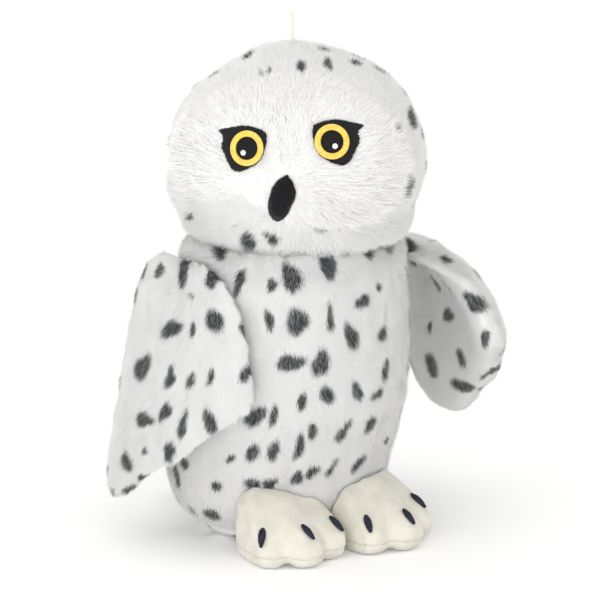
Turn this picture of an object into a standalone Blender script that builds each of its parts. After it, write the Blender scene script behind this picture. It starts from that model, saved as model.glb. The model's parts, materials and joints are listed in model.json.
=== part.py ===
# A plush snowy owl that sits upright, in metres with +Z up. The owl's body faces -Y and its left side is +X.
# The covers are sewn panels of plush over stuffing, the head turns on a plastic neck joint and the wings hang from
# their shoulder seams. The origin is the middle of the flat base, on the surface that the owl sits on.

import math

import bmesh
import bpy
import numpy as np
from mathutils import Matrix, Vector
from mathutils.bvhtree import BVHTree

# Fits that every piece shares
SEAM_GAP = 0.0004
SEAT_GAP = 0.0003
FILL_CLEARANCE = 0.0007
COVER = 0.0024
CUT_OVERRUN = 0.004
MERGE_DISTANCE = 0.00001
CUTTER_SIDE = 0.6

# Body
BODY_HEIGHT = 0.187
BODY_HALF_WIDTH = 0.0765
BODY_HALF_DEPTH = 0.0695
CHEST_LEAN = 0.015
NECK_RADIUS = 0.057
BASE_HALF_WIDTH = 0.042
BASE_HALF_DEPTH = 0.038
BASE_SEAM_SHARE = 0.048
BELLY_PANEL_HALF_ANGLE = math.radians(35)
BODY_SEGMENTS = 26
FINE_SEGMENTS = 112
FINE_ROWS = 60

# Height, half width, half depth and forward lean of each level, as shares of the four body sizes
BODY_LEVEL_SHARES = (
    (0.975, 0.815, 0.840, 0.97),
    (0.935, 0.868, 0.885, 0.85),
    (0.900, 0.920, 0.930, 0.72),
    (0.855, 0.965, 0.960, 0.60),
    (0.760, 0.995, 0.995, 0.42),
    (0.600, 1.000, 1.000, 0.40),
    (0.460, 0.995, 0.995, 0.27),
    (0.320, 0.965, 0.940, -0.10),
    (0.230, 0.932, 0.885, -0.33),
    (0.160, 0.905, 0.865, -0.35),
    (0.107, 0.850, 0.825, -0.33),
    (0.055, 0.745, 0.755, -0.28),
    (0.024, 0.655, 0.665, -0.27),
)
BASE_LEAN_SHARE = -0.27

# Head, set on the neck: it is turned to the owl's right and leans to the same side
HEAD_HEIGHT = 0.1255
HEAD_HALF_WIDTH = 0.0785
HEAD_HALF_DEPTH = 0.066
HEAD_CENTRE_RISE = 0.053
HEAD_BOTTOM_DROP = 0.062
HEAD_TURN = math.radians(-38)
HEAD_ROLL = math.radians(-7)
FACE_SEAM_FORWARD = 0.035
HEAD_SEGMENTS = 26

# Height above the form's bottom, half width and half depth of each level, as shares of the three head sizes
HEAD_LEVEL_SHARES = (
    (0.993, 0.118, 0.118),
    (0.970, 0.250, 0.250),
    (0.935, 0.390, 0.390),
    (0.885, 0.545, 0.545),
    (0.830, 0.700, 0.690),
    (0.765, 0.805, 0.800),
    (0.690, 0.888, 0.890),
    (0.600, 0.950, 0.950),
    (0.500, 0.984, 0.990),
    (0.414, 1.000, 1.000),
    (0.335, 0.994, 0.995),
    (0.255, 0.952, 0.965),
    (0.175, 0.885, 0.920),
    (0.096, 0.808, 0.870),
    (0.040, 0.740, 0.820),
    (0.000, 0.650, 0.750),
)

# Neck joint: two plastic discs that clamp the covers, a post and a washer pressed on its end
NECK_DISC_RADIUS = 0.027
NECK_DISC_THICKNESS = 0.0026
NECK_POST_RADIUS = 0.0048
NECK_POST_TAIL = 0.0030
WASHER_RADIUS = 0.011
WASHER_THICKNESS = 0.0022
NECK_JOINT_SEGMENTS = 28

# Beans in the seat
POUCH_HEIGHT = 0.024
POUCH_HALF_WIDTH = 0.040
POUCH_HALF_DEPTH = 0.036
POUCH_SEGMENTS = 20
POUCH_LEVEL_SHARES = ((0.93, 0.62), (0.72, 0.90), (0.42, 1.00), (0.14, 0.93), (0.00, 0.80))

# Wings, each a flat cushion that wraps round the body below its shoulder seam
WING_LENGTH = 0.146
WING_WIDTH = 0.119
WING_THICKNESS = 0.0175
WING_BOW = 0.0055
WING_ROOT_RADIUS = 0.004
WING_SEAM_SHARE = 0.8984
SHOULDER_SLOPE_SHARE = 1.12
WING_REST_RIGHT = math.radians(7.5)
WING_REST_LEFT = math.radians(6)
WING_BACK_RADIUS = 0.30
WING_RAISED_RADIUS = 0.15
WING_RAISED_BEND = math.radians(80)
WING_RAISED_THICKNESS = 0.027
WING_BEND_LENGTH = 0.036
WING_PATH_STEPS = 24
WING_COVER = 0.0020
WING_FILL_CLEARANCE = 0.0011
WING_SEGMENTS = 26
WING_RINGS = 10
WING_FULLNESS_SHARE = 0.72

# Along from the shoulder and across, positive to the front, as shares of the wing's length and width
WING_OUTLINE_SHARES = (
    (-0.027, 0.270),
    (0.090, 0.450),
    (0.226, 0.525),
    (0.342, 0.560),
    (0.455, 0.575),
    (0.530, 0.500),
    (0.616, 0.365),
    (0.720, 0.255),
    (0.785, 0.125),
    (0.850, 0.000),
    (0.950, -0.130),
    (0.985, -0.270),
    (0.950, -0.400),
    (0.840, -0.470),
    (0.680, -0.470),
    (0.410, -0.430),
    (0.200, -0.370),
    (0.050, -0.290),
    (-0.020, -0.170),
    (-0.030, 0.070),
)
WING_CENTRE_SHARES = (0.43, 0.06)

# Share of the length, then thickness and outward bow there as shares of the two sizes
WING_SECTION_SHARES = (
    (-0.03, 0.45, 0.00),
    (0.07, 0.52, 0.55),
    (0.17, 0.63, 0.82),
    (0.31, 0.79, 0.74),
    (0.45, 0.89, 0.59),
    (0.62, 1.00, 0.41),
    (0.82, 0.94, 0.85),
    (1.00, 0.74, 1.55),
)

# Tail
TAIL_LENGTH = 0.046
TAIL_WIDTH = 0.050
TAIL_THICKNESS = 0.012
TAIL_ROOT_HEIGHT = 0.040
TAIL_SLOPE = math.radians(38)
TAIL_SEGMENTS = 18
TAIL_RINGS = 6
TAIL_OUTLINE_SHARES = (
    (-0.05, 0.30),
    (0.30, 0.42),
    (0.65, 0.50),
    (0.90, 0.42),
    (1.00, 0.20),
    (0.97, 0.00),
    (1.00, -0.20),
    (0.90, -0.42),
    (0.65, -0.50),
    (0.30, -0.42),
    (-0.05, -0.30),
    (-0.10, 0.00),
)
TAIL_CENTRE_SHARES = (0.48, 0.0)

# Feet
FOOT_SPACING = 0.058
FEET_ASIDE = -0.004
FOOT_TOE_REACH = 0.089
FOOT_LENGTH = 0.062
FOOT_WIDTH = 0.062
FOOT_HEIGHT = 0.043
FOOT_SOLE_HEIGHT = 0.0067
FOOT_COVER = 0.0018
FOOT_SEGMENTS = 26
FOOT_TOE_COUNT = 3
FOOT_TOE_ANGLE = math.radians(58)
FOOT_LOBE_SHARE = 0.075
FOOT_RIGHT_TURN = math.radians(8)
FOOT_LEFT_TURN = math.radians(14)
TOES_RIGHT_ASIDE = math.radians(-10)
TOES_LEFT_ASIDE = math.radians(4)

# Height, half width, toe end and heel end of each level, as shares of the foot's height, width, length and length
FOOT_LEVEL_SHARES = (
    (0.975, 0.220, 0.300, 0.060),
    (0.890, 0.335, 0.425, 0.030),
    (0.760, 0.410, 0.560, 0.015),
    (0.620, 0.455, 0.715, 0.010),
    (0.480, 0.485, 0.870, 0.000),
    (0.330, 0.500, 0.985, 0.000),
    (0.162, 0.500, 1.000, 0.000),
    (0.060, 0.480, 0.965, 0.015),
    (0.000, 0.440, 0.900, 0.050),
)

# Claws
CLAW_LENGTH = 0.0140
CLAW_WIDTH = 0.0046
CLAW_THICKNESS = 0.0022
CLAW_RIGHT_HEIGHTS = (0.0203, 0.0210, 0.0195)
CLAW_LEFT_HEIGHTS = (0.0195, 0.0200, 0.0228)
CLAW_SEGMENTS = 10
CLAW_RINGS = 6
CLAW_OUTLINE_SHARES = (
    (0.00, 0.50),
    (0.34, 0.36),
    (0.50, 0.10),
    (0.36, -0.24),
    (0.00, -0.50),
    (-0.36, -0.24),
    (-0.50, 0.10),
    (-0.34, 0.36),
)

# Eyes: azimuth from the face's middle, positive to the owl's left, and height above the head's centre
EYE_RIGHT_AZIMUTH = math.radians(-17)
EYE_RIGHT_RISE = 0.0105
EYE_LEFT_AZIMUTH = math.radians(27.5)
EYE_LEFT_RISE = 0.0150
EYE_PATCH_WIDTH = 0.0290
EYE_PATCH_HEIGHT = 0.0276
EYE_PATCH_THICKNESS = 0.0012
EYE_RING_RADIUS = 0.0103
EYE_RING_WIDTH = 0.0035
EYE_RING_THICKNESS = 0.0014
EYE_PUPIL_RADIUS = 0.0065
EYE_PUPIL_THICKNESS = 0.0012
EYE_GLINT_RADIUS = 0.0016
EYE_GLINT_THICKNESS = 0.0006
EYE_GLINT_DROP = 0.0028
EYE_GLINT_OUT = 0.0014
EYE_SEGMENTS = 20
EYE_PATCH_SEGMENTS = 26
EYE_RING_SEGMENTS = 6

# Across, positive away from the beak, and up, as shares of the patch's width and height
EYE_PATCH_OUTLINE_SHARES = (
    (0.700, 0.340),
    (0.400, 0.420),
    (0.120, 0.480),
    (-0.200, 0.430),
    (-0.365, 0.330),
    (-0.365, 0.050),
    (-0.280, -0.230),
    (-0.080, -0.400),
    (0.180, -0.518),
    (0.360, -0.420),
    (0.480, -0.215),
    (0.600, 0.010),
    (0.560, 0.180),
)

# Beak
BEAK_LENGTH = 0.0290
BEAK_WIDTH = 0.0158
BEAK_THICKNESS = 0.0105
BEAK_AZIMUTH = math.radians(2)
BEAK_DROP = 0.0165
BEAK_TILT = math.radians(12)
BEAK_SEGMENTS = 16
BEAK_RINGS = 8
BEAK_OUTLINE_SHARES = (
    (0.00, 0.50),
    (0.30, 0.30),
    (0.46, 0.10),
    (0.50, -0.10),
    (0.42, -0.33),
    (0.20, -0.47),
    (0.00, -0.50),
    (-0.20, -0.47),
    (-0.42, -0.33),
    (-0.50, -0.10),
    (-0.46, 0.10),
    (-0.30, 0.30),
)

# Hanging loop
LOOP_HEIGHT = 0.0165
LOOP_ASIDE = 0.0065
LOOP_HALF_WIDTH = 0.0032
LOOP_CORD_RADIUS = 0.0008
LOOP_POINTS = 23
LOOP_FACING = math.radians(-30)

# Shares that shape rounded edges
SAME_RING_SHARE = 0.01
EDGE_SHARE = 0.3
FLAT_FULLNESS_SHARE = 0.4
FLAT_RINGS = 6
FOOT_SQUARENESS_SHARE = 0.85
SURFACE_REACH_SHARE = 8
BEAK_TOP_SHARE = 0.55
LOOP_FULLNESS_SHARE = 0.6
SHOULDER_LEVEL = BODY_LEVEL_SHARES[2]
WIDEST_LEVEL = BODY_LEVEL_SHARES[5]

DOWN = Vector((0, 0, -1))
UP = Vector((0, 0, 1))
NECK_CENTRE = Vector((0, -CHEST_LEAN, 0))
HEAD_CENTRE = Vector((0, -CHEST_LEAN, BODY_HEIGHT + HEAD_CENTRE_RISE))
HEAD_PLACE = (
    Matrix.Translation(HEAD_CENTRE)
    @ Matrix.Rotation(HEAD_TURN, 4, "Z")
    @ Matrix.Rotation(HEAD_ROLL, 4, "Y")
)
HEAD_FLOOR = BODY_HEIGHT + SEAT_GAP
FACE_DIRECTION = Matrix.Rotation(HEAD_TURN, 3, "Z") @ Vector((0, -1, 0))

COLOURS = {
    "plush": (0.78, 0.77, 0.74),
    "face_plush": (0.86, 0.85, 0.82),
    "velour": (0.75, 0.73, 0.66),
    "black_velour": (0.012, 0.012, 0.016),
    "embroidery": (0.93, 0.52, 0.035),
    "black_thread": (0.008, 0.008, 0.010),
    "white_thread": (0.90, 0.90, 0.90),
    "filling": (0.85, 0.85, 0.83),
    "beans": (0.60, 0.58, 0.50),
    "plastic": (0.62, 0.64, 0.66),
    "loop_thread": (0.80, 0.82, 0.60),
}
ROUGHNESS = {"plastic": 0.4, "embroidery": 0.6, "black_thread": 0.55, "white_thread": 0.55}
SOFT_ROUGHNESS = 0.95


def material_of(kind):
    """The material of that kind, made once."""
    material = bpy.data.materials.get(kind)
    if material is None:
        material = bpy.data.materials.new(kind)
        material.use_nodes = True
        shader = material.node_tree.nodes["Principled BSDF"]
        shader.inputs["Base Color"].default_value = (*COLOURS[kind], 1)
        shader.inputs["Roughness"].default_value = ROUGHNESS.get(kind, SOFT_ROUGHNESS)
        shader.inputs["Metallic"].default_value = 0
    return material


def turn_out(mesh_data):
    """Turns the faces of a closed form outward."""
    bmesh.ops.recalc_face_normals(mesh_data, faces=mesh_data.faces)
    if mesh_data.calc_volume(signed=True) < 0:
        bmesh.ops.reverse_faces(mesh_data, faces=mesh_data.faces)


def add_mesh(name, mesh_data, kind, collection=None):
    """An object of this bmesh, with its faces turned out and shaded smooth."""
    turn_out(mesh_data)
    mesh = bpy.data.meshes.new(name)
    mesh_data.to_mesh(mesh)
    mesh_data.free()
    mesh.shade_smooth()
    obj = bpy.data.objects.new(name, mesh)
    (collection or PARTS).objects.link(obj)
    if kind:
        mesh.materials.append(material_of(kind))
    return obj


def add_cutter(name, mesh_data):
    """A helper object that only cuts."""
    obj = add_mesh(name, mesh_data, None, CUTTERS)
    obj.hide_render = True
    obj.display_type = "WIRE"
    return obj


def cut(obj, cutter, operation="DIFFERENCE"):
    """A Boolean modifier on obj."""
    modifier = obj.modifiers.new(cutter.name, "BOOLEAN")
    modifier.operation = operation
    modifier.solver = "EXACT"
    modifier.object = cutter
    return obj


def half_space(name, point, normal):
    """A cutter that fills the side of a plane to which its normal points."""
    mesh_data = bmesh.new()
    bmesh.ops.create_cube(mesh_data, size=CUTTER_SIDE)
    turn = Vector(normal).to_track_quat("Z", "Y").to_matrix().to_4x4()
    centre = Vector(point) + Vector(normal).normalized() * (CUTTER_SIDE / 2)
    bmesh.ops.transform(mesh_data, matrix=Matrix.Translation(centre) @ turn, verts=mesh_data.verts)
    return add_cutter(name, mesh_data)


def disc_cutter(name, centre, radius, bottom, top, segments=NECK_JOINT_SEGMENTS):
    """An upright cylinder that cuts from bottom to top."""
    mesh_data = bmesh.new()
    bmesh.ops.create_cone(
        mesh_data, cap_ends=True, segments=segments, radius1=radius, radius2=radius, depth=top - bottom
    )
    middle = Vector((centre[0], centre[1], (top + bottom) / 2))
    bmesh.ops.transform(mesh_data, matrix=Matrix.Translation(middle), verts=mesh_data.verts)
    return add_cutter(name, mesh_data)


def smooth_between(rows, position, closed=False):
    """The row at a fractional place in a table, on a smooth curve through the table's rows."""
    count = len(rows)
    first = math.floor(position)
    part = position - first

    def row(index):
        return np.array(rows[index % count] if closed else rows[min(max(index, 0), count - 1)], float)

    before, start, end, after = (row(first + step) for step in (-1, 0, 1, 2))
    return start + part / 2 * (
        end - before + part * (2 * before - 5 * start + 4 * end - after + part * (3 * (start - end) + after - before))
    )


def table_at(rows, share):
    """The values beside a share in a table whose first column holds shares, joined smoothly."""
    firsts = [row[0] for row in rows]
    index = min(max(sum(share > first for first in firsts) - 1, 0), len(rows) - 2)
    part = min(max((share - firsts[index]) / (firsts[index + 1] - firsts[index]), 0), 1)
    return smooth_between(rows, index + part)[1:]


def body_levels():
    """Levels from the neck down to the base: height, half width, half depth, centre in Y."""
    levels = [(BODY_HEIGHT, NECK_RADIUS, NECK_RADIUS, -CHEST_LEAN)]
    for height, width, depth, lean in BODY_LEVEL_SHARES:
        levels.append(
            (height * BODY_HEIGHT, width * BODY_HALF_WIDTH, depth * BODY_HALF_DEPTH, -lean * CHEST_LEAN)
        )
    levels.append((0, BASE_HALF_WIDTH, BASE_HALF_DEPTH, -BASE_LEAN_SHARE * CHEST_LEAN))
    return levels


def head_levels():
    """Levels from the crown down, measured from the head's centre."""
    bottom = -HEAD_BOTTOM_DROP
    return [
        (bottom + height * HEAD_HEIGHT, width * HEAD_HALF_WIDTH, depth * HEAD_HALF_DEPTH, 0)
        for height, width, depth in HEAD_LEVEL_SHARES
    ]


def ring_form(levels, segments, top, bottom):
    """A closed round form: a UV sphere whose rings take the levels' heights, widths, depths and centres."""
    mesh_data = bmesh.new()
    steps = len(levels) + 1
    bmesh.ops.create_uvsphere(mesh_data, u_segments=segments, v_segments=steps, radius=1)
    for vert in mesh_data.verts:
        index = round(math.acos(max(-1, min(1, vert.co.z))) / math.pi * steps)
        if index == 0:
            vert.co = (0, levels[0][3], top)
        elif index == steps:
            vert.co = (0, levels[-1][3], bottom)
        else:
            height, width, depth, middle = levels[index - 1]
            angle = math.atan2(vert.co.y, vert.co.x)
            vert.co = (width * math.cos(angle), middle + depth * math.sin(angle), height)
    return mesh_data


def inset(mesh_data, distance):
    """Moves each vertex inward by distance from the faces round it."""
    turn_out(mesh_data)
    mesh_data.normal_update()
    moves = [(vert, vert.normal * vert.calc_shell_factor() * distance) for vert in mesh_data.verts]
    for vert, move in moves:
        vert.co -= move
    return mesh_data


def body_form(distance=0.0, segments=BODY_SEGMENTS):
    """The body's outer form, or one that lies inside it by distance."""
    mesh_data = ring_form(body_levels(), segments, BODY_HEIGHT, 0)
    return inset(mesh_data, distance) if distance else mesh_data


def head_form(distance=0.0, levels=None, segments=HEAD_SEGMENTS):
    """The head's outer form in place, with its underside flat on the neck."""
    levels = levels or head_levels()
    mesh_data = ring_form(levels, segments, HEAD_HEIGHT - HEAD_BOTTOM_DROP, -HEAD_BOTTOM_DROP)
    bmesh.ops.transform(mesh_data, matrix=HEAD_PLACE, verts=mesh_data.verts)
    for vert in mesh_data.verts:
        vert.co.z = max(vert.co.z, HEAD_FLOOR)
    return inset(mesh_data, distance) if distance else mesh_data


def fine_head():
    """The head's smooth surface, for pieces that are sewn on it."""
    levels = head_levels()
    last = len(levels) - 1
    fine = [tuple(smooth_between(levels, last * step / FINE_ROWS)) for step in range(FINE_ROWS + 1)]
    mesh_data = head_form(levels=fine, segments=FINE_SEGMENTS)
    tree = BVHTree.FromBMesh(mesh_data)
    mesh_data.free()
    return tree


def shell(obj, thickness):
    """Turns a closed form into its cover, with the wall on the inside."""
    modifier = obj.modifiers.new("cover", "SOLIDIFY")
    modifier.thickness = thickness
    modifier.offset = -1
    modifier.use_even_offset = True
    return obj


def outline_at(shares, angle_share, size, closed=True):
    """A point of a closed outline, in its own sizes."""
    point = smooth_between(shares, angle_share * len(shares), closed)
    return point[0] * size[0], point[1] * size[1]


def add_body():
    """The four sewn panels of the body, its stuffing and the beans in its seat."""
    left_seam = -math.pi / 2 + BELLY_PANEL_HALF_ANGLE
    right_seam = -math.pi / 2 - BELLY_PANEL_HALF_ANGLE
    back_seam = math.pi / 2
    base_side = half_space("below_base_seam", (0, 0, BASE_SEAM_SHARE * BODY_HEIGHT + SEAM_GAP / 2), DOWN)
    upper_side = half_space("above_base_seam", (0, 0, BASE_SEAM_SHARE * BODY_HEIGHT - SEAM_GAP / 2), UP)
    post_hole = disc_cutter(
        "neck_hole", NECK_CENTRE, NECK_POST_RADIUS + SEAT_GAP, BODY_HEIGHT - COVER - CUT_OVERRUN,
        BODY_HEIGHT + CUT_OVERRUN,
    )

    def seam(name, angle, keep_side):
        """A cutter beyond an upright seam plane through the neck's axis, leaving half the seam's gap."""
        across = Vector((-math.sin(angle), math.cos(angle), 0)) * keep_side
        return half_space(name, NECK_CENTRE + across * (SEAM_GAP / 2), -across)

    panels = (
        ("belly_panel", (("belly_right_seam", right_seam, 1), ("belly_left_seam", left_seam, -1))),
        ("back_panel_left", (("back_left_front_seam", left_seam, 1), ("back_left_seam", back_seam, -1))),
        ("back_panel_right", (("back_right_seam", back_seam, 1), ("back_right_front_seam", right_seam, -1))),
    )
    for name, seams in panels:
        panel = shell(add_mesh(name, body_form(), "plush"), COVER)
        for seam_name, angle, keep_side in seams:
            cut(panel, seam(seam_name, angle, keep_side))
        cut(panel, base_side)
        cut(panel, post_hole)
    base = shell(add_mesh("base_panel", body_form(), "plush"), COVER)
    cut(base, upper_side)

    filling = add_mesh("body_stuffing", body_form(COVER + FILL_CLEARANCE), "filling")
    disc_top = BODY_HEIGHT - COVER - SEAT_GAP
    disc_bottom = disc_top - NECK_DISC_THICKNESS
    washer_bottom = disc_bottom - SEAT_GAP - WASHER_THICKNESS
    recess_top = BODY_HEIGHT + CUT_OVERRUN
    cut(filling, disc_cutter(
        "body_disc_recess", NECK_CENTRE, NECK_DISC_RADIUS + SEAT_GAP, disc_bottom - SEAT_GAP, recess_top
    ))
    cut(filling, disc_cutter(
        "washer_recess", NECK_CENTRE, WASHER_RADIUS + SEAT_GAP, washer_bottom - NECK_POST_TAIL - SEAT_GAP, recess_top
    ))
    pouch_floor = COVER + SEAT_GAP
    room = add_cutter("bean_pouch_room", pouch_form(pouch_floor, SEAT_GAP, -CUT_OVERRUN))
    cut(filling, room)
    add_mesh("bean_pouch", pouch_form(pouch_floor, 0, 0), "beans")


def pouch_middle():
    """The bean pouch's centre in Y, over the base."""
    return -BASE_LEAN_SHARE * CHEST_LEAN


def pouch_form(floor, grow, drop):
    """The bean pouch, or the room that it takes when grow is a gap and drop opens it downward."""
    levels = [
        (
            floor + height * POUCH_HEIGHT + grow * height,
            width * POUCH_HALF_WIDTH + grow,
            width * POUCH_HALF_DEPTH + grow,
            pouch_middle(),
        )
        for height, width in POUCH_LEVEL_SHARES
    ]
    if drop:
        lowest = levels[-1]
        levels.append((floor + drop, lowest[1], lowest[2], lowest[3]))
    return ring_form(levels, POUCH_SEGMENTS, floor + POUCH_HEIGHT + grow, levels[-1][0])


def add_neck_joint():
    """The disc with its post in the head, the disc in the body and the washer that holds them together."""
    body_disc_top = BODY_HEIGHT - COVER - SEAT_GAP
    body_disc_bottom = body_disc_top - NECK_DISC_THICKNESS
    washer_top = body_disc_bottom - SEAT_GAP
    washer_bottom = washer_top - WASHER_THICKNESS
    head_disc_bottom = HEAD_FLOOR + COVER + SEAT_GAP
    head_disc_top = head_disc_bottom + NECK_DISC_THICKNESS
    post_end = washer_bottom - NECK_POST_TAIL
    bore = NECK_POST_RADIUS + SEAT_GAP

    turned("neck_post_disc", ((0, head_disc_top), (NECK_DISC_RADIUS, head_disc_top),
                              (NECK_DISC_RADIUS, head_disc_bottom), (NECK_POST_RADIUS, head_disc_bottom),
                              (NECK_POST_RADIUS, post_end), (0, post_end)))
    turned("neck_body_disc", ((bore, body_disc_top), (NECK_DISC_RADIUS, body_disc_top),
                              (NECK_DISC_RADIUS, body_disc_bottom), (bore, body_disc_bottom),
                              (bore, body_disc_top)))
    turned("neck_lock_washer", ((bore, washer_top), (WASHER_RADIUS, washer_top),
                                (WASHER_RADIUS, washer_bottom), (bore, washer_bottom), (bore, washer_top)))


def turned(name, profile):
    """A plastic piece turned about the neck's axis from its profile, given as radius and height."""
    mesh_data = bmesh.new()
    closed = profile[0] == profile[-1]
    verts = [mesh_data.verts.new((radius, 0, height)) for radius, height in profile[: len(profile) - closed]]
    if closed:
        verts.append(verts[0])
    for first, second in zip(verts, verts[1:]):
        mesh_data.edges.new((first, second))
    mesh = bpy.data.meshes.new(name)
    mesh_data.to_mesh(mesh)
    mesh_data.free()
    mesh.materials.append(material_of("plastic"))
    obj = bpy.data.objects.new(name, mesh)
    PARTS.objects.link(obj)
    obj.location = NECK_CENTRE
    modifier = obj.modifiers.new("turned", "SCREW")
    modifier.steps = NECK_JOINT_SEGMENTS
    modifier.render_steps = NECK_JOINT_SEGMENTS
    modifier.use_merge_vertices = True
    modifier.merge_threshold = MERGE_DISTANCE
    return obj


def add_head():
    """The hood, the face panel and the stuffing of the head."""
    seam_point = HEAD_CENTRE + FACE_DIRECTION * FACE_SEAM_FORWARD
    gap = FACE_DIRECTION * (SEAM_GAP / 2)
    post_hole = disc_cutter(
        "head_hole", NECK_CENTRE, NECK_POST_RADIUS + SEAT_GAP, HEAD_FLOOR - CUT_OVERRUN,
        HEAD_FLOOR + COVER + CUT_OVERRUN,
    )
    hood = shell(add_mesh("head_hood", head_form(), "plush"), COVER)
    cut(hood, half_space("hood_seam", seam_point - gap, FACE_DIRECTION))
    cut(hood, post_hole)
    face = shell(add_mesh("face_panel", head_form(), "face_plush"), COVER)
    cut(face, half_space("face_seam", seam_point + gap, -FACE_DIRECTION))
    filling = add_mesh("head_stuffing", head_form(COVER + FILL_CLEARANCE), "filling")
    disc_top = HEAD_FLOOR + COVER + SEAT_GAP + NECK_DISC_THICKNESS
    cut(filling, disc_cutter(
        "head_disc_recess", NECK_CENTRE, NECK_DISC_RADIUS + SEAT_GAP, HEAD_FLOOR - CUT_OVERRUN, disc_top + SEAT_GAP
    ))


def wing_surface(ring_share, outline, fullest, distance):
    """One point of a wing in its own axes: down from the shoulder, across to the front and out from the body. It lies
    a distance inside the wing's outer face."""
    spread = math.sin(ring_share * math.pi) ** WING_FULLNESS_SHARE
    height = math.copysign(abs(math.cos(ring_share * math.pi)) ** WING_FULLNESS_SHARE, 0.5 - ring_share)
    middle = (WING_CENTRE_SHARES[0] * WING_LENGTH, WING_CENTRE_SHARES[1] * WING_WIDTH)
    spread *= 1 - distance / math.hypot(outline[0] - middle[0], outline[1] - middle[1])
    along = middle[0] + (outline[0] - middle[0]) * spread
    across = middle[1] + (outline[1] - middle[1]) * spread
    thickness, bow = table_at(WING_SECTION_SHARES, along / WING_LENGTH)
    return along, across, bow * WING_BOW + height * (thickness * fullest / 2 - distance)


def hinge_offset():
    """The shoulder seam's distance from the body's middle plane."""
    return SHOULDER_LEVEL[1] * BODY_HALF_WIDTH + (WING_ROOT_RADIUS + SEAT_GAP) * SHOULDER_SLOPE_SHARE


def wing_middle():
    """The wing's middle in Y, which is the body's at its widest level."""
    return -WIDEST_LEVEL[3] * CHEST_LEAN


def wing_path(along, bend):
    """Where a wing's middle lies beside and below its seam, and which way it heads there. It leaves the shoulder at
    the bend's angle and straightens with distance."""
    if along <= 0:
        return along * math.sin(bend), along * math.cos(bend), bend
    beside = below = 0
    step = along / WING_PATH_STEPS
    for number in range(WING_PATH_STEPS):
        heading = bend * math.exp(-(number + 0.5) * step / WING_BEND_LENGTH)
        beside += step * math.sin(heading)
        below += step * math.cos(heading)
    return beside, below, bend * math.exp(-along / WING_BEND_LENGTH)


def wing_form(side, distance=0.0, keep=0):
    """A wing's cushion in its own axes. Each ring of a UV sphere takes the outline, drawn in toward the middle. The
    right wing wraps round the body, and the left one is raised and flatter. With keep 1 or -1 only its outer or inner
    half is left, moved half a seam's gap that way."""
    mesh_data = bmesh.new()
    bmesh.ops.create_uvsphere(mesh_data, u_segments=WING_SEGMENTS, v_segments=WING_RINGS, radius=1)
    raised = side > 0
    bend = WING_RAISED_BEND if raised else 0
    front_radius = WING_RAISED_RADIUS if raised else hinge_offset()
    fullest = WING_RAISED_THICKNESS if raised else WING_THICKNESS
    dropped = []
    out_ways = []
    for vert in mesh_data.verts:
        ring_share = math.acos(max(-1, min(1, vert.co.z))) / math.pi
        if keep and (0.5 - ring_share) * keep < -SAME_RING_SHARE:
            dropped.append(vert)
        turn_share = math.atan2(vert.co.y, vert.co.x) / (2 * math.pi) % 1
        outline = outline_at(WING_OUTLINE_SHARES, turn_share, (WING_LENGTH, WING_WIDTH))
        along, across, out = wing_surface(ring_share, outline, fullest, distance)
        beside, below, heading = wing_path(along, bend)
        core = front_radius if across > 0 else WING_BACK_RADIUS
        wrap = across / core
        inward = (core + out) * math.cos(wrap) - core
        vert.co = (
            beside + inward * math.cos(heading),
            -(core + out) * math.sin(wrap),
            inward * math.sin(heading) - below,
        )
        out_ways.append(Vector((
            math.cos(wrap) * math.cos(heading), -math.sin(wrap), math.cos(wrap) * math.sin(heading)
        )))
    for vert, out_way in zip(mesh_data.verts, out_ways):
        vert.co += out_way * (keep * SEAM_GAP / 2)
    bmesh.ops.delete(mesh_data, geom=dropped, context="VERTS")
    if side < 0:
        bmesh.ops.transform(mesh_data, matrix=Matrix.Scale(-1, 4, Vector((1, 0, 0))), verts=mesh_data.verts)
    return mesh_data


def half_cover(name, outside, inside, kind):
    """One sewn half of a cover: its outer face, its inner face and the seam edge that joins them."""
    lining = bpy.data.meshes.new(name)
    inside.to_mesh(lining)
    inside.free()
    outside.from_mesh(lining)
    bpy.data.meshes.remove(lining)
    rims = [edge for edge in outside.edges if edge.is_boundary]
    bmesh.ops.bridge_loops(outside, edges=rims)
    return add_mesh(name, outside, kind)


def add_wing(side, word, rest):
    """One wing: an outer and an inner panel sewn round its edge, and its stuffing, on an empty at the shoulder."""
    pivot = bpy.data.objects.new(f"wing_{word}_pivot", None)
    PARTS.objects.link(pivot)
    pivot.location = (side * hinge_offset(), wing_middle(), BODY_HEIGHT * WING_SEAM_SHARE)
    pivot.rotation_euler = (0, -side * rest, 0)
    pieces = [
        half_cover(f"wing_{word}_{layer}_panel", wing_form(side, 0, keep), wing_form(side, WING_COVER, keep), "plush")
        for layer, keep in (("outer", 1), ("inner", -1))
    ]
    pieces.append(add_mesh(f"wing_{word}_stuffing", wing_form(side, WING_COVER + WING_FILL_CLEARANCE), "filling"))
    for piece in pieces:
        piece.parent = pivot


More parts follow.
